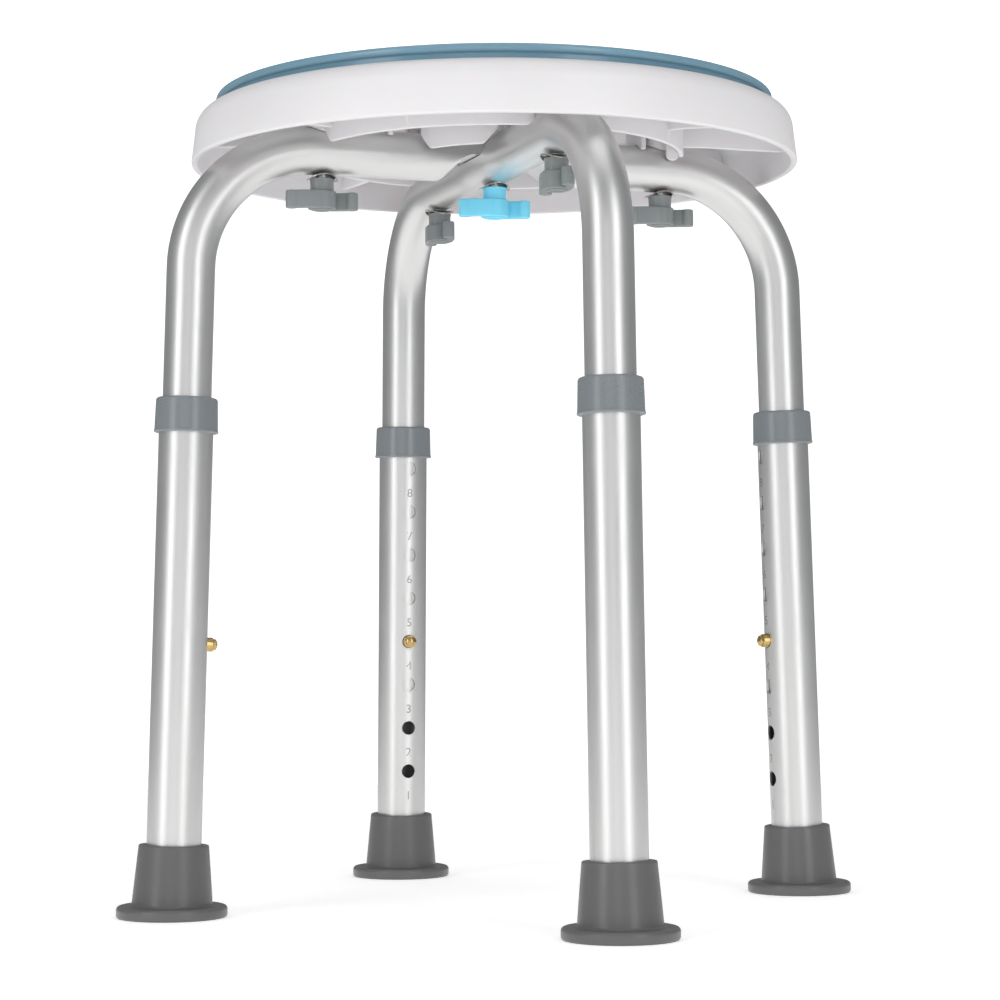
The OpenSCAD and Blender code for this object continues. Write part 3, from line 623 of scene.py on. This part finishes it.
def drawn_tube():
    """Skin of a drawn, satin-anodised tube: hair-fine lines along it, slow bands round it and a
    few handling rubs, worked out where the tube would lie if it were straight."""
    group, put, out = effect(
        "drawn tube",
        [("Colour", "Color", (0.8, 0.8, 0.8, 1)), ("Line colour", "Color", (0.7, 0.7, 0.7, 1)),
         ("Line scale", "Float", 2600.0), ("Smooth", "Float", 0.25), ("Rough", "Float", 0.4)],
        [("Colour", "Color"), ("Roughness", "Float"), ("Height", "Float")])
    place = node(group, "Attribute", {"attribute_name": "straight"}).outputs["Vector"]
    thin = node(group, "Mapping", Vector=place, Scale=(1.0, 1.0, 0.012))
    lines = noise(group, thin.outputs[0], put["Line scale"], 3.0, 0.6)
    slow = node(group, "Mapping", Vector=place, Scale=(1.0, 1.0, 0.15))
    band = noise(group, slow.outputs[0], 90.0, 2.0)
    rubs = noise(group, place, 38.0, 4.0, 0.65)
    shade = node(group, "Math", {"operation": "MULTIPLY_ADD"}, _0=lines, _1=0.6,
                 _2=between(group, band, 0.3, 0.7, 0.0, 0.4))
    group.links.new(mixed(group, shade.outputs[0], put["Colour"], put["Line colour"]),
                    out["Colour"])
    worn = node(group, "Math", {"operation": "MULTIPLY_ADD"}, _0=rubs, _1=0.6,
                _2=between(group, lines, 0.3, 0.7, 0.0, 0.4))
    group.links.new(between(group, worn.outputs[0], 0.25, 0.8, put["Smooth"], put["Rough"]),
                    out["Roughness"])
    group.links.new(lines, out["Height"])
    return group


DRAWN_TUBE = drawn_tube()


def aluminium(name, colour, smooth, rough):
    """Drawn aluminium, anodised without dye."""
    values = {"Colour": (*colour, 1), "Line colour": (*(c * 0.93 for c in colour), 1),
              "Line scale": 2600.0, "Smooth": smooth, "Rough": rough}
    return finish(name, DRAWN_TUBE, values, 1.5e-6, Metallic=1.0)


SATIN_ALUMINIUM = aluminium("satin anodised aluminium", (0.80, 0.80, 0.79), 0.37, 0.47)


def arch_tube(name, node_name, turn, flip):
    """An arch with its three stud holes and its two button holes."""
    outer = arch_skin(ARCH_R, LAP, flip)
    inner = arch_skin(ARCH_R - ARCH_WALL, LAP + ARCH_WALL, flip)
    points, straight = tube_along(inner, outer)
    tube = solid(name, [placed(points, turn)], straight=straight.reshape(-1, 3))
    stud_hole = drum(STUD_HOLE_R, ARCH_Z - 20 * MM, ARCH_Z + 20 * MM)
    holes = [placed(stud_hole, turn, (x, 0, 0)) for x in (-KNOB_R, 0, KNOB_R)]
    sides = [s for s, a in PLACES.items() if a % 180 == turn]
    for side in sides:
        holes.append(in_leg(lying(drum(BUTTON_HOLE_R, 0, 20 * MM)), side, REST_T))
    combine(tube, [solid("hole", [h]) for h in holes], "DIFFERENCE")
    made_of(tube, SATIN_ALUMINIUM)
    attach(tube, "base")
    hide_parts(node_name)


arch_tube("upper_arch", "arch_tube_x", 0, 1)
arch_tube("lower_arch", "arch_tube_y", 90, -1)

# ---- Spring washers ----
# A curved washer of bright spring steel sits between each tube and its knob: its middle bears on
# the round tube and its two ends droop past the knob's neck.
SPRING_STEEL = metal("bright spring steel", (0.62, 0.60, 0.57), 0.12, 0.28)
made_of(frame["nodes"]["spring_washers"], SPRING_STEEL)

# ---- Clamping knobs ----
# Five moulded wing knobs, the middle one blue and the others grey, each on a round neck: two
# wings curve away from the hub like an S, and a shallow round boss closes the hub underneath.
KNOB_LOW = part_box("knob_centre")[0].z
WING_LOW = KNOB_LOW + 0.6 * MM
WING_H = 9.4 * MM
NECK_R = 6.5 * MM
NECK_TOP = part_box("knob_centre")[1].z
CENTRE_TURN = -6.0
HUB_R = 7.5 * MM
WING_HALF = 2.2 * MM
WING_ROOT = HUB_R - WING_HALF - 0.3 * MM
WING_REACH = 16.4 * MM
WING_BEND = (WING_REACH ** 2 + WING_ROOT ** 2) / (2 * WING_ROOT)
WING_SWEEP = math.asin(WING_REACH / WING_BEND)
WING_TIP_R = 3.2 * MM
WING_STEPS = 60
EDGE_R = 0.7 * MM


def wing_ring(shrink, width):
    """The outline of one wing in plan, drawn in by shrink; a width of 0 closes it to a line.

    Its centre line is x = B sin q, y = R - B (1 - cos q): it leaves the hub at its side, R off
    the knob's axis, and curls back to y = 0 at the tip.  Its half width joins those of the wing
    and the tip's circle as the sixth root of the sum of their sixth powers.
    """
    tip_at = WING_BEND * WING_SWEEP
    s = (tip_at + WING_TIP_R - shrink) * np.sin(np.linspace(0, math.pi / 2, WING_STEPS))
    q = np.minimum(s, tip_at) / WING_BEND
    past = np.maximum(s - tip_at, 0)
    middle = np.stack([WING_BEND * np.sin(q) + past * np.cos(q),
                       WING_ROOT - WING_BEND * (1 - np.cos(q)) - past * np.sin(q)], axis=-1)
    tip = np.sqrt(np.maximum((WING_TIP_R - shrink) ** 2 - (s - tip_at) ** 2, 0))
    blade = (WING_HALF - shrink) * np.sqrt(np.maximum(1 - (past / (WING_TIP_R - shrink)) ** 2, 0))
    half = width * (tip ** 6 + blade ** 6) ** (1 / 6)
    across = np.stack([np.sin(q), np.cos(q)], axis=-1) * half[:, None]
    return np.concatenate([middle + across, (middle - across)[::-1]])


def wing():
    """One wing with rounded edges all round its two faces."""
    t = np.linspace(0, math.pi / 2, 4)
    ease = [(EDGE_R * (1 - np.sin(a)), EDGE_R * (1 - np.cos(a))) for a in t[::-1]]
    inside_hub = 0.02 * MM
    low, high = WING_LOW + inside_hub, WING_LOW + WING_H - inside_hub
    rows = [(low, EDGE_R, 0.0)] + [(low + z, shrink, 1.0) for z, shrink in ease]
    rows += [(high - z, shrink, 1.0) for z, shrink in ease[::-1]] + [(high, EDGE_R, 0.0)]
    return np.stack([np.column_stack([wing_ring(shrink, width), np.full(2 * WING_STEPS, z)])
                     for z, shrink, width in rows])


def wing_knob(name, place, colour_finish):
    """Hub and wings with rounded edges, a neck, a boss with a recess, and a gate mark."""
    hub_top = WING_LOW + WING_H
    hub = turned(outline(
        [0, WING_LOW], arc(HUB_R - EDGE_R, WING_LOW + EDGE_R, EDGE_R, -90, 0, 5),
        arc(HUB_R - EDGE_R, hub_top - EDGE_R, EDGE_R, 0, 90, 5), [0, hub_top]), 72)
    neck_low = WING_LOW + WING_H - 1 * MM
    neck = turned(outline(
        [0, neck_low], [NECK_R - 0.1 * MM, neck_low],
        [NECK_R - 0.35 * MM, neck_low + 2.4 * MM], [NECK_R - 0.3 * MM, NECK_TOP - 1.6 * MM],
        [NECK_R - 0.05 * MM, NECK_TOP - 0.8 * MM],
        arc(NECK_R - 0.3 * MM, NECK_TOP - 0.3 * MM, 0.3 * MM, 0, 90, 4), [0, NECK_TOP]), 64)
    boss_r = NECK_R - 1 * MM
    boss = turned(outline(
        [0, KNOB_LOW + 0.5 * MM], [boss_r - 2 * MM, KNOB_LOW + 0.5 * MM],
        [boss_r - 1.6 * MM, KNOB_LOW + 0.1 * MM], [boss_r - 1.2 * MM, KNOB_LOW],
        arc(boss_r - 0.4 * MM, KNOB_LOW + 0.4 * MM, 0.4 * MM, -90, 0, 4),
        [boss_r, WING_LOW + 1 * MM], [0, WING_LOW + 1 * MM]), 64)
    gate = turned(arc(0, 0, 0.8 * MM, -90, 90, 7), 16)
    gate += np.array([WING_REACH + WING_TIP_R - 0.45 * MM, 0, WING_LOW + WING_H / 2])
    r, turn = KNOBS[place]
    turn = CENTRE_TURN if place == "centre" else turn
    shapes = [placed(g, turn, (r, 0, 0))
              for g in (hub, wing(), placed(wing(), 180), neck, boss, gate)]
    knob = solid(name, shapes[:1])
    combine(knob, [solid("part", [g]) for g in shapes[1:]], "UNION")
    made_of(knob, colour_finish)
    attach(knob, "knob_" + place)
    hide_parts("knob_" + place)


GREY_KNOB = moulded("grey knob plastic", (0.235, 0.257, 0.262), 0.06, 0.28, 0.4, wear=0.55)
BLUE_KNOB = moulded("blue knob plastic", (0.20, 0.72, 0.98), 0.05, 0.28, 0.4, wear=0.35,
                    Subsurface_Weight=0.1, Subsurface_Scale=0.002)
for place in KNOBS:
    if place == "centre":
        wing_knob("blue_knob", place, BLUE_KNOB)
    else:
        wing_knob("grey_knob_" + place, place, GREY_KNOB)
    made_of(frame["nodes"]["stud_" + place], ZINC)

# ---- Ball ring and pivot ----
# The seat turns on a ring of steel balls in a flat acetal cage, and a steel plate on three screws
# holds its inner flange down on the base's spigot.
BEARING_STEEL = metal("polished bearing steel", (0.70, 0.70, 0.71), 0.06, 0.14)
ACETAL = moulded("natural acetal", (0.72, 0.70, 0.64), 0.05, 0.28, 0.4,
                 Subsurface_Weight=0.1, Subsurface_Scale=0.003)
made_of(frame["nodes"]["bearing_balls"], BEARING_STEEL)
made_of(frame["nodes"]["bearing_cage"], ACETAL)
made_of(frame["nodes"]["pivot_plate"], ZINC)
made_of(frame["nodes"]["pivot_screws"], ZINC)

# ---- Seat ----
# The seat is a glossy blue-grey moulding, a thin dish with a rolled lip, drain slots for the water
# and rows of small domes that keep a wet sitter from sliding.
SEAT_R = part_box("seat_disc")[1].x
SEAT_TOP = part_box("seat_disc")[1].z
FLANGE_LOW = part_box("seat_disc")[0].z
SIT_TOP = SEAT_TOP - 0.9 * MM
SEAT_WALL = 3.4 * MM
SEAT_LOW = SIT_TOP - SEAT_WALL
LIP_H = 4.2 * MM
RIM_R = SEAT_R - 3.2 * MM
FLANGE_T = 2.3 * MM
CAP_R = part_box("seat_cap")[1].x
CAP_LOW, CAP_TOP = (corner.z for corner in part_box("seat_cap"))
PLATE_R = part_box("pivot_plate")[1].x
SLOT_COUNT = 12
SLOT_R = 112 * MM
SLOT_L = 30 * MM
SLOT_W = 5 * MM

bore = SPIGOT_R + 0.1 * MM
pocket = CAP_R + 0.1 * MM
ledge = 0.4 * MM
seat_profile = outline(
    [bore, FLANGE_LOW], [CAP_R + 5 * MM, FLANGE_LOW], [CAP_R + 5 * MM, SEAT_LOW],
    [RIM_R - 3 * MM - ledge, SEAT_LOW], [RIM_R - 3 * MM, SEAT_LOW - ledge],
    [RIM_R - 3 * MM, FLANGE_LOW + ledge], [RIM_R - 3 * MM + ledge, FLANGE_LOW],
    [RIM_R - ledge, FLANGE_LOW], [RIM_R, FLANGE_LOW + ledge],
    [RIM_R, SEAT_TOP - LIP_H - ledge], [RIM_R + ledge, SEAT_TOP - LIP_H],
    arc(SEAT_R - LIP_H / 2, SEAT_TOP - LIP_H / 2, LIP_H / 2, -80, 80, 12),
    arc(SEAT_R - LIP_H - 4 * MM, SEAT_TOP - 3 * MM, 3 * MM, 80, 105, 4),
    [SEAT_R - LIP_H - 7.4 * MM, SIT_TOP + 0.12 * MM], [SEAT_R - LIP_H - 9 * MM, SIT_TOP],
    line([SEAT_R - 30 * MM, SIT_TOP], [pocket + 0.5 * MM, SIT_TOP], 6),
    [pocket, SIT_TOP - 0.4 * MM], [pocket, CAP_LOW], [PLATE_R + 1 * MM, CAP_LOW],
    [PLATE_R + 1 * MM, FLANGE_LOW + FLANGE_T], [bore, FLANGE_LOW + FLANGE_T], [bore, FLANGE_LOW],
)
seat = solid("swivel_seat", [turned(seat_profile, 192)])


def slot_cutter(turn):
    """A round-ended slot whose upper edge flares out by half a millimetre.

    In plan it is two half circles of radius w/2 whose middles are l - w apart.
    """
    count = 13
    a = np.linspace(-math.pi / 2, math.pi / 2, count)
    rows = [(SEAT_LOW - 2 * MM, 0), (SIT_TOP - 0.5 * MM, 0), (SIT_TOP - 0.1 * MM, 0.2 * MM),
            (SIT_TOP + 0.1 * MM, 0.6 * MM), (SIT_TOP + 1 * MM, 0.6 * MM)]
    shift = (SLOT_L - SLOT_W) / 2
    middle = np.zeros((2 * count, 3))
    rings = [middle + [0, 0, rows[0][0]]]
    for z, flare in rows:
        r = SLOT_W / 2 + flare
        x = np.concatenate([shift + r * np.cos(a), -shift - r * np.cos(a)])
        y = np.concatenate([r * np.sin(a), -r * np.sin(a)])
        rings.append(np.stack([x, y, np.full(2 * count, z)], axis=-1))
    rings.append(middle + [0, 0, rows[-1][0]])
    return placed(np.stack(rings), turn, (SLOT_R, 0, 0))


seat_cuts = [slot_cutter((i + 0.5) * 360 / SLOT_COUNT) for i in range(SLOT_COUNT)]
seat_cuts.append(RACE)
combine(seat, [solid("cut", [cut]) for cut in seat_cuts], "DIFFERENCE", 30)


def dome_rows():
    """Low domes in rings inside the drain slots: each is the cap of a small ball that is sunk in
    the seat, and they stand at even steps round each ring."""
    pitch, ball_r, sunk, sides = 8 * MM, 3 * MM, 2.55 * MM, 10
    dome = turned(arc(0, -sunk, ball_r, 90, 50, 4), sides)
    dome = np.concatenate([dome, np.zeros((1, sides, 3)) + [0, 0, dome[-1, 0, 2]]])
    made = []
    for r in np.arange(34 * MM, 92 * MM, pitch):
        count = 6 * round(2 * math.pi * r / (6 * pitch))
        for i in range(count):
            made.append(placed(dome, (i + 0.5) * 360 / count, (r, 0, SIT_TOP)))
    return made


seat_domes = solid("grip_domes", dome_rows(), 60)
SEAT_PLASTIC = moulded("glossy blue-grey plastic", (0.175, 0.325, 0.42), 0.06, 0.16, 0.26,
                       wear=0.25, grain=900.0, bump=3e-6, IOR=1.5,
                       Subsurface_Weight=0.08, Subsurface_Scale=0.003)
for piece in (seat, seat_domes):
    made_of(piece, SEAT_PLASTIC)
    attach(piece, "seat")
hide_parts("seat_disc")

cap = solid("seat_cap_disc", [turned(outline(
    [0, CAP_LOW], [CAP_R - 0.2 * MM, CAP_LOW], [CAP_R, CAP_LOW + 0.2 * MM], [CAP_R, CAP_TOP - 0.5 * MM],
    arc(CAP_R - 0.5 * MM, CAP_TOP - 0.5 * MM, 0.5 * MM, 0, 90, 5),
    [CAP_R - 3 * MM, CAP_TOP], [CAP_R - 3.4 * MM, CAP_TOP - 0.3 * MM],
    [CAP_R - 4.2 * MM, CAP_TOP - 0.3 * MM], [CAP_R - 4.6 * MM, CAP_TOP], [0, CAP_TOP]), 128)])
made_of(cap, SEAT_PLASTIC)
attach(cap, "seat")
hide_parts("seat_cap")

# ---- Leg tubes ----
# Each lower leg is a wider drawn aluminium tube that slides on an arch's end.  Eight punched
# holes face the stool's middle, and a thin stamped number stands under each.
LEG_R = 14 * MM
LEG_WALL = 1.2 * MM
LEG_LOW = 8.1 * MM
LEG_TOP = 258.1 * MM
HOLE_COUNT = 8
HOLE_R = 4 * MM


def leg_tube(side):
    """A straight tube with slightly broken edges, rings every 3 mm and its row of holes."""
    brk = 0.25 * MM
    z = np.linspace(LEG_LOW + brk, LEG_TOP - brk, 84)
    bore = LEG_R - LEG_WALL
    profile = np.concatenate([
        [[LEG_R - brk, LEG_LOW]], np.column_stack([0 * z + LEG_R, z]),
        [[LEG_R - brk, LEG_TOP], [bore + brk, LEG_TOP]],
        np.column_stack([0 * z + bore, z])[::-1], [[bore + brk, LEG_LOW], [LEG_R - brk, LEG_LOW]]])
    points = turned(profile)
    tube = solid("lower_leg_" + side, [in_leg(points, side)], straight=points.reshape(-1, 3))
    holes = [in_leg(lying(drum(HOLE_R, 8 * MM, 20 * MM, 48)), side, HOLE_FIRST + i * HOLE_PITCH)
             for i in range(HOLE_COUNT)]
    combine(tube, [solid("hole", [h]) for h in holes], "DIFFERENCE")
    made_of(tube, SATIN_ALUMINIUM)
    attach(tube, "leg_" + side)
    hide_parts("leg_tube_" + side)


def leg_numbers(side):
    """Numbers 1 to 8 under the holes, wrapped on the tube: a letter's x becomes the angle x / r
    round the tube, its y the height, and its depth the distance from the tube's middle."""
    size, drop, depth = 7.0 * MM, 14.4 * MM, 0.04 * MM
    points, faces, start = [], [], 0
    for i in range(HOLE_COUNT):
        text = bpy.data.curves.new("number", "FONT")
        text.body = str(i + 1)
        text.size, text.extrude, text.resolution_u = size, depth, 3
        text.align_x, text.align_y = "CENTER", "CENTER"
        letter = bpy.data.objects.new("number", text)
        scene.collection.objects.link(letter)
        graph = bpy.context.evaluated_depsgraph_get()
        flat = bpy.data.meshes.new_from_object(letter.evaluated_get(graph))
        co = np.zeros(len(flat.vertices) * 3)
        flat.vertices.foreach_get("co", co)
        x, y, z = co.reshape(-1, 3).T
        round_tube, r = x / LEG_R, LEG_R + z
        height = HOLE_FIRST + i * HOLE_PITCH - drop + y
        wrapped = np.stack([-r * np.cos(round_tube), -r * np.sin(round_tube), height], axis=-1)
        points.append(in_leg(wrapped, side))
        faces += [[v + start for v in face.vertices] for face in flat.polygons]
        start += len(wrapped)
        bpy.data.objects.remove(letter)
    mesh = bpy.data.meshes.new("numbers")
    mesh.from_pydata(np.concatenate(points), [], faces)
    work = bmesh.new()
    work.from_mesh(mesh)
    bmesh.ops.remove_doubles(work, verts=work.verts, dist=1e-6)
    bmesh.ops.recalc_face_normals(work, faces=work.faces)
    work.to_mesh(mesh)
    work.free()
    crisp(mesh, 30)
    numbers = bpy.data.objects.new("leg_numbers_" + side, mesh)
    scene.collection.objects.link(numbers)
    made_of(numbers, STAMPED)
    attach(numbers, "leg_" + side)


STAMPED = metal("stamped grey", (0.42, 0.42, 0.43), 0.4, 0.6)
for side in PLACES:
    leg_tube(side)
    leg_numbers(side)

# ---- Collars ----
# A grey moulded collar is pressed on the top of each leg tube and guides the arch's end, so that
# the two tubes don't rattle.
COLLAR_LOW = 247.6 * MM
COLLAR_H = 18 * MM
COLLAR_GRIP = 10.5 * MM
COLLAR_R = 16.6 * MM
COLLAR_TOP_R = 15.9 * MM
COLLAR_BORE = ARCH_R + 0.7 * MM
GREY_COLLAR = moulded("grey collar plastic", (0.205, 0.228, 0.24), 0.05, 0.2, 0.32, wear=0.5)

collar_profile = outline(
    [LEG_R, 0], [COLLAR_R - 0.4 * MM, 0], [COLLAR_R, 0.4 * MM], [COLLAR_R, 0.9 * MM],
    [COLLAR_R - 0.25 * MM, 1.4 * MM],
    line([COLLAR_R - 0.3 * MM, 2 * MM], [COLLAR_TOP_R, COLLAR_H - 2 * MM], 6),
    arc(COLLAR_TOP_R - 1.6 * MM, COLLAR_H - 1.6 * MM, 1.6 * MM, 0, 90, 7),
    [COLLAR_BORE + 0.4 * MM, COLLAR_H], [COLLAR_BORE, COLLAR_H - 0.4 * MM],
    [COLLAR_BORE, COLLAR_GRIP], [LEG_R, COLLAR_GRIP], [LEG_R, 0],
)
for side in PLACES:
    collar = solid("grey_collar_" + side, [in_leg(turned(collar_profile), side, COLLAR_LOW)])
    made_of(collar, GREY_COLLAR)
    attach(collar, "leg_" + side)
    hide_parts("collar_" + side)

# ---- Snap buttons and spring clips ----
# A turned brass button on a bent strip of spring steel stands out through both tubes and locks
# the height; pressed in, it lets the leg slide.
CLIP_FRONT = 8.8 * MM
BUTTON_END = LEG_R + 5.6 * MM
BRASS = metal("turned brass", (0.62, 0.45, 0.19), 0.16, 0.34, cloud=300.0)

button_profile = outline(
    [0, CLIP_FRONT], [BUTTON_R + 1.2 * MM, CLIP_FRONT], [BUTTON_R + 1.2 * MM, CLIP_FRONT + 1 * MM],
    [BUTTON_R, CLIP_FRONT + 1 * MM], [BUTTON_R, BUTTON_END - 2.9 * MM],
    arc(BUTTON_R - 0.5 * MM, BUTTON_END - 2.9 * MM, 0.5 * MM, 0, 90, 5),
    [BUTTON_R - 0.8 * MM, BUTTON_END - 2.45 * MM],
    arc(0, BUTTON_END - 4.2 * MM, 4.2 * MM, 46, 90, 10),
)
for side in PLACES:
    button = solid("brass_button_" + side, [in_leg(lying(turned(button_profile, 48)), side, REST_T)])
    made_of(button, BRASS)
    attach(button, "button_" + side)
    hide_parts("button_" + side)
    made_of(frame["nodes"]["spring_clip_" + side], SPRING_STEEL)

# ---- Feet ----
# Each foot is a grey rubber tip: a round flange lies level on the floor, and a tapered sleeve
# leans with the leg and grips it, with a steel washer under the tube's end.
FOOT_FLANGE_R = 28.3 * MM
FOOT_FLANGE_T = 6 * MM
SLEEVE_LOW_R = 20.5 * MM
SLEEVE_TOP_R = 18 * MM
FOOT_H = 36.8 * MM
FOOT_SOLE = 6.6 * MM
FOOT_RUBBER = moulded("grey rubber", (0.130, 0.130, 0.133), 0.07, 0.28, 0.42, wear=0.4, flow=30.0,
                      grain=1200.0, bump=1.5e-5)

grip_rings = np.concatenate([
    [[r + 0.3 * MM, 0.8 * MM], [r + 1.7 * MM, 0.8 * MM], [r + 2 * MM, 0], [r + 4 * MM, 0]]
    for r in np.arange(5, 24, 4.0) * MM])
foot_profile = outline(
    [0, 0.8 * MM], [4.7 * MM, 0.8 * MM], [5 * MM, 0], grip_rings[1:], [FOOT_FLANGE_R - 0.8 * MM, 0],
    arc(FOOT_FLANGE_R - 1.2 * MM, 1.4 * MM, 1.2 * MM, -60, 0, 4),
    arc(FOOT_FLANGE_R - 2 * MM, FOOT_FLANGE_T - 2 * MM, 2 * MM, 0, 85, 7),
    [SLEEVE_LOW_R + 3 * MM, FOOT_FLANGE_T + 0.1 * MM],
    arc(SLEEVE_LOW_R + 1.6 * MM, FOOT_FLANGE_T + 1.7 * MM, 1.6 * MM, 270, 185, 6),
    line([SLEEVE_LOW_R - 0.15 * MM, 10 * MM], [SLEEVE_TOP_R + 0.05 * MM, FOOT_H - 1.6 * MM], 10),
    arc(SLEEVE_TOP_R - 1 * MM, FOOT_H - 1 * MM, 1 * MM, 0, 90, 5),
    [LEG_R + 0.9 * MM, FOOT_H], [LEG_R + 0.45 * MM, FOOT_H - 0.5 * MM],
    [LEG_R + 0.3 * MM, FOOT_H - 3 * MM], [LEG_R, FOOT_H - 5 * MM], [LEG_R, FOOT_SOLE], [0, FOOT_SOLE],
)


def leaning_foot(side):
    """The foot's profile turned about a line that is upright in the flange and leans above it:
    a point at height h takes the share k of the leg's lean, k rising from 0 to 1 in the fillet.
    The bottom of the socket leans in full."""
    points = turned(foot_profile)
    level = placed(points, PLACES[side], (FOOT_R, 0, 0))
    share = step(foot_profile[:, 1], FOOT_FLANGE_T - 1 * MM, FOOT_FLANGE_T + 4 * MM)
    share[-2:] = 1.0
    share = share[:, None, None]
    return solid("rubber_foot_" + side, [level * (1 - share) + in_leg(points, side) * share])


for side in PLACES:
    foot = leaning_foot(side)
    made_of(foot, FOOT_RUBBER)
    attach(foot, "leg_" + side)
    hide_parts("foot_" + side)
    made_of(frame["nodes"]["foot_washer_" + side], ZINC)

# ---- Floor and light ----
# A white floor runs into a curved backdrop.  Two tall soft boxes stand left and right of the
# camera, with a dim card between them and a broad soft light above; metal mirrors a dim room.
scene.view_settings.view_transform = "Standard"
BACKDROP_WIDTH = 12.0
BACKDROP_AT = 3.0
BACKDROP_BEND = 1.5
BACKDROP_HIGH = 5.0
FLOOR_R = 1.1


def backdrop():
    """Floor and backdrop in one: flat, then a quarter circle, then upright behind the stool, as
    seen from the camera; points are (across, along, height)."""
    a = np.linspace(0, math.pi / 2, 24)
    along = np.concatenate([[-4.0], BACKDROP_AT + BACKDROP_BEND * np.sin(a)])
    along = np.append(along, along[-1])
    rise = np.concatenate([[0.0], BACKDROP_BEND * (1 - np.cos(a)), [BACKDROP_HIGH]])
    across = np.array([-0.5, 0.5]) * BACKDROP_WIDTH
    grid = np.stack(np.broadcast_arrays(across[None, :], along[:, None], rise[:, None]), axis=-1)
    grid = placed(grid, -math.degrees(CAMERA_YAW), (0, 0, -0.5 * MM))
    index = np.arange(grid.shape[0] * 2).reshape(-1, 2)
    faces = np.stack([index[:-1, 0], index[:-1, 1], index[1:, 1], index[1:, 0]], axis=-1)
    mesh = bpy.data.meshes.new("backdrop")
    mesh.from_pydata(grid.reshape(-1, 3), [], faces)
    mesh.shade_smooth()
    made = bpy.data.objects.new("backdrop", mesh)
    scene.collection.objects.link(made)
    made.visible_glossy = False
    return made


floor = solid("floor", [turned([[0, 0], [FLOOR_R, 0], [FLOOR_R, -0.4 * MM], [0, -0.4 * MM]], 128)])
for stage_piece, glow in ((floor, 0.42), (backdrop(), 0.62)):
    made_of(stage_piece, moulded("white paper", (0.93, 0.93, 0.93), 0.01, 0.8, 0.9, wear=0.0,
                                 Emission_Color=(1, 1, 1, 1), Emission_Strength=glow))


def soft_box(name, bearing, distance, height, size, radiance):
    """A soft box that looks at the stool from a bearing measured round from the camera's side.
    Its power is radiance times pi times its area."""
    lamp = bpy.data.lights.new(name, "AREA")
    lamp.shape, lamp.size, lamp.size_y = "RECTANGLE", size[0], size[1]
    lamp.energy = radiance * math.pi * size[0] * size[1]
    made = bpy.data.objects.new(name, lamp)
    a = math.atan2(CAMERA_PLACE.y, CAMERA_PLACE.x) + math.radians(bearing)
    made.location = (distance * math.cos(a), distance * math.sin(a), height)
    aim = Vector((0, 0, 0.25)) - made.location
    made.rotation_euler = aim.to_track_quat("-Z", "Y").to_euler()
    scene.collection.objects.link(made)


soft_box("soft_box_left", -47, 1.9, 0.75, (0.62, 1.8), 2.6)
soft_box("soft_box_right", 35, 1.9, 0.75, (0.62, 1.8), 2.5)
soft_box("card", -6, 2.2, 0.6, (1.0, 1.4), 0.7)
soft_box("overhead", 0, 0.3, 2.4, (1.8, 1.8), 0.9)

surround = bpy.data.worlds.new("surround")
scene.world = surround
surround.use_nodes = True
tree = surround.node_tree
tree.nodes.clear()
path = node(tree, "LightPath")
even = node(tree, "Background", Color=(1, 1, 1, 1), Strength=0.37)
mirrored = node(tree, "Background", Color=(0.95, 0.97, 1, 1), Strength=0.25)
mix = node(tree, "MixShader", _0=path.outputs["Is Glossy Ray"], _1=even.outputs[0],
           _2=mirrored.outputs[0])
tree.links.new(mix.outputs[0], node(tree, "OutputWorld").inputs["Surface"])
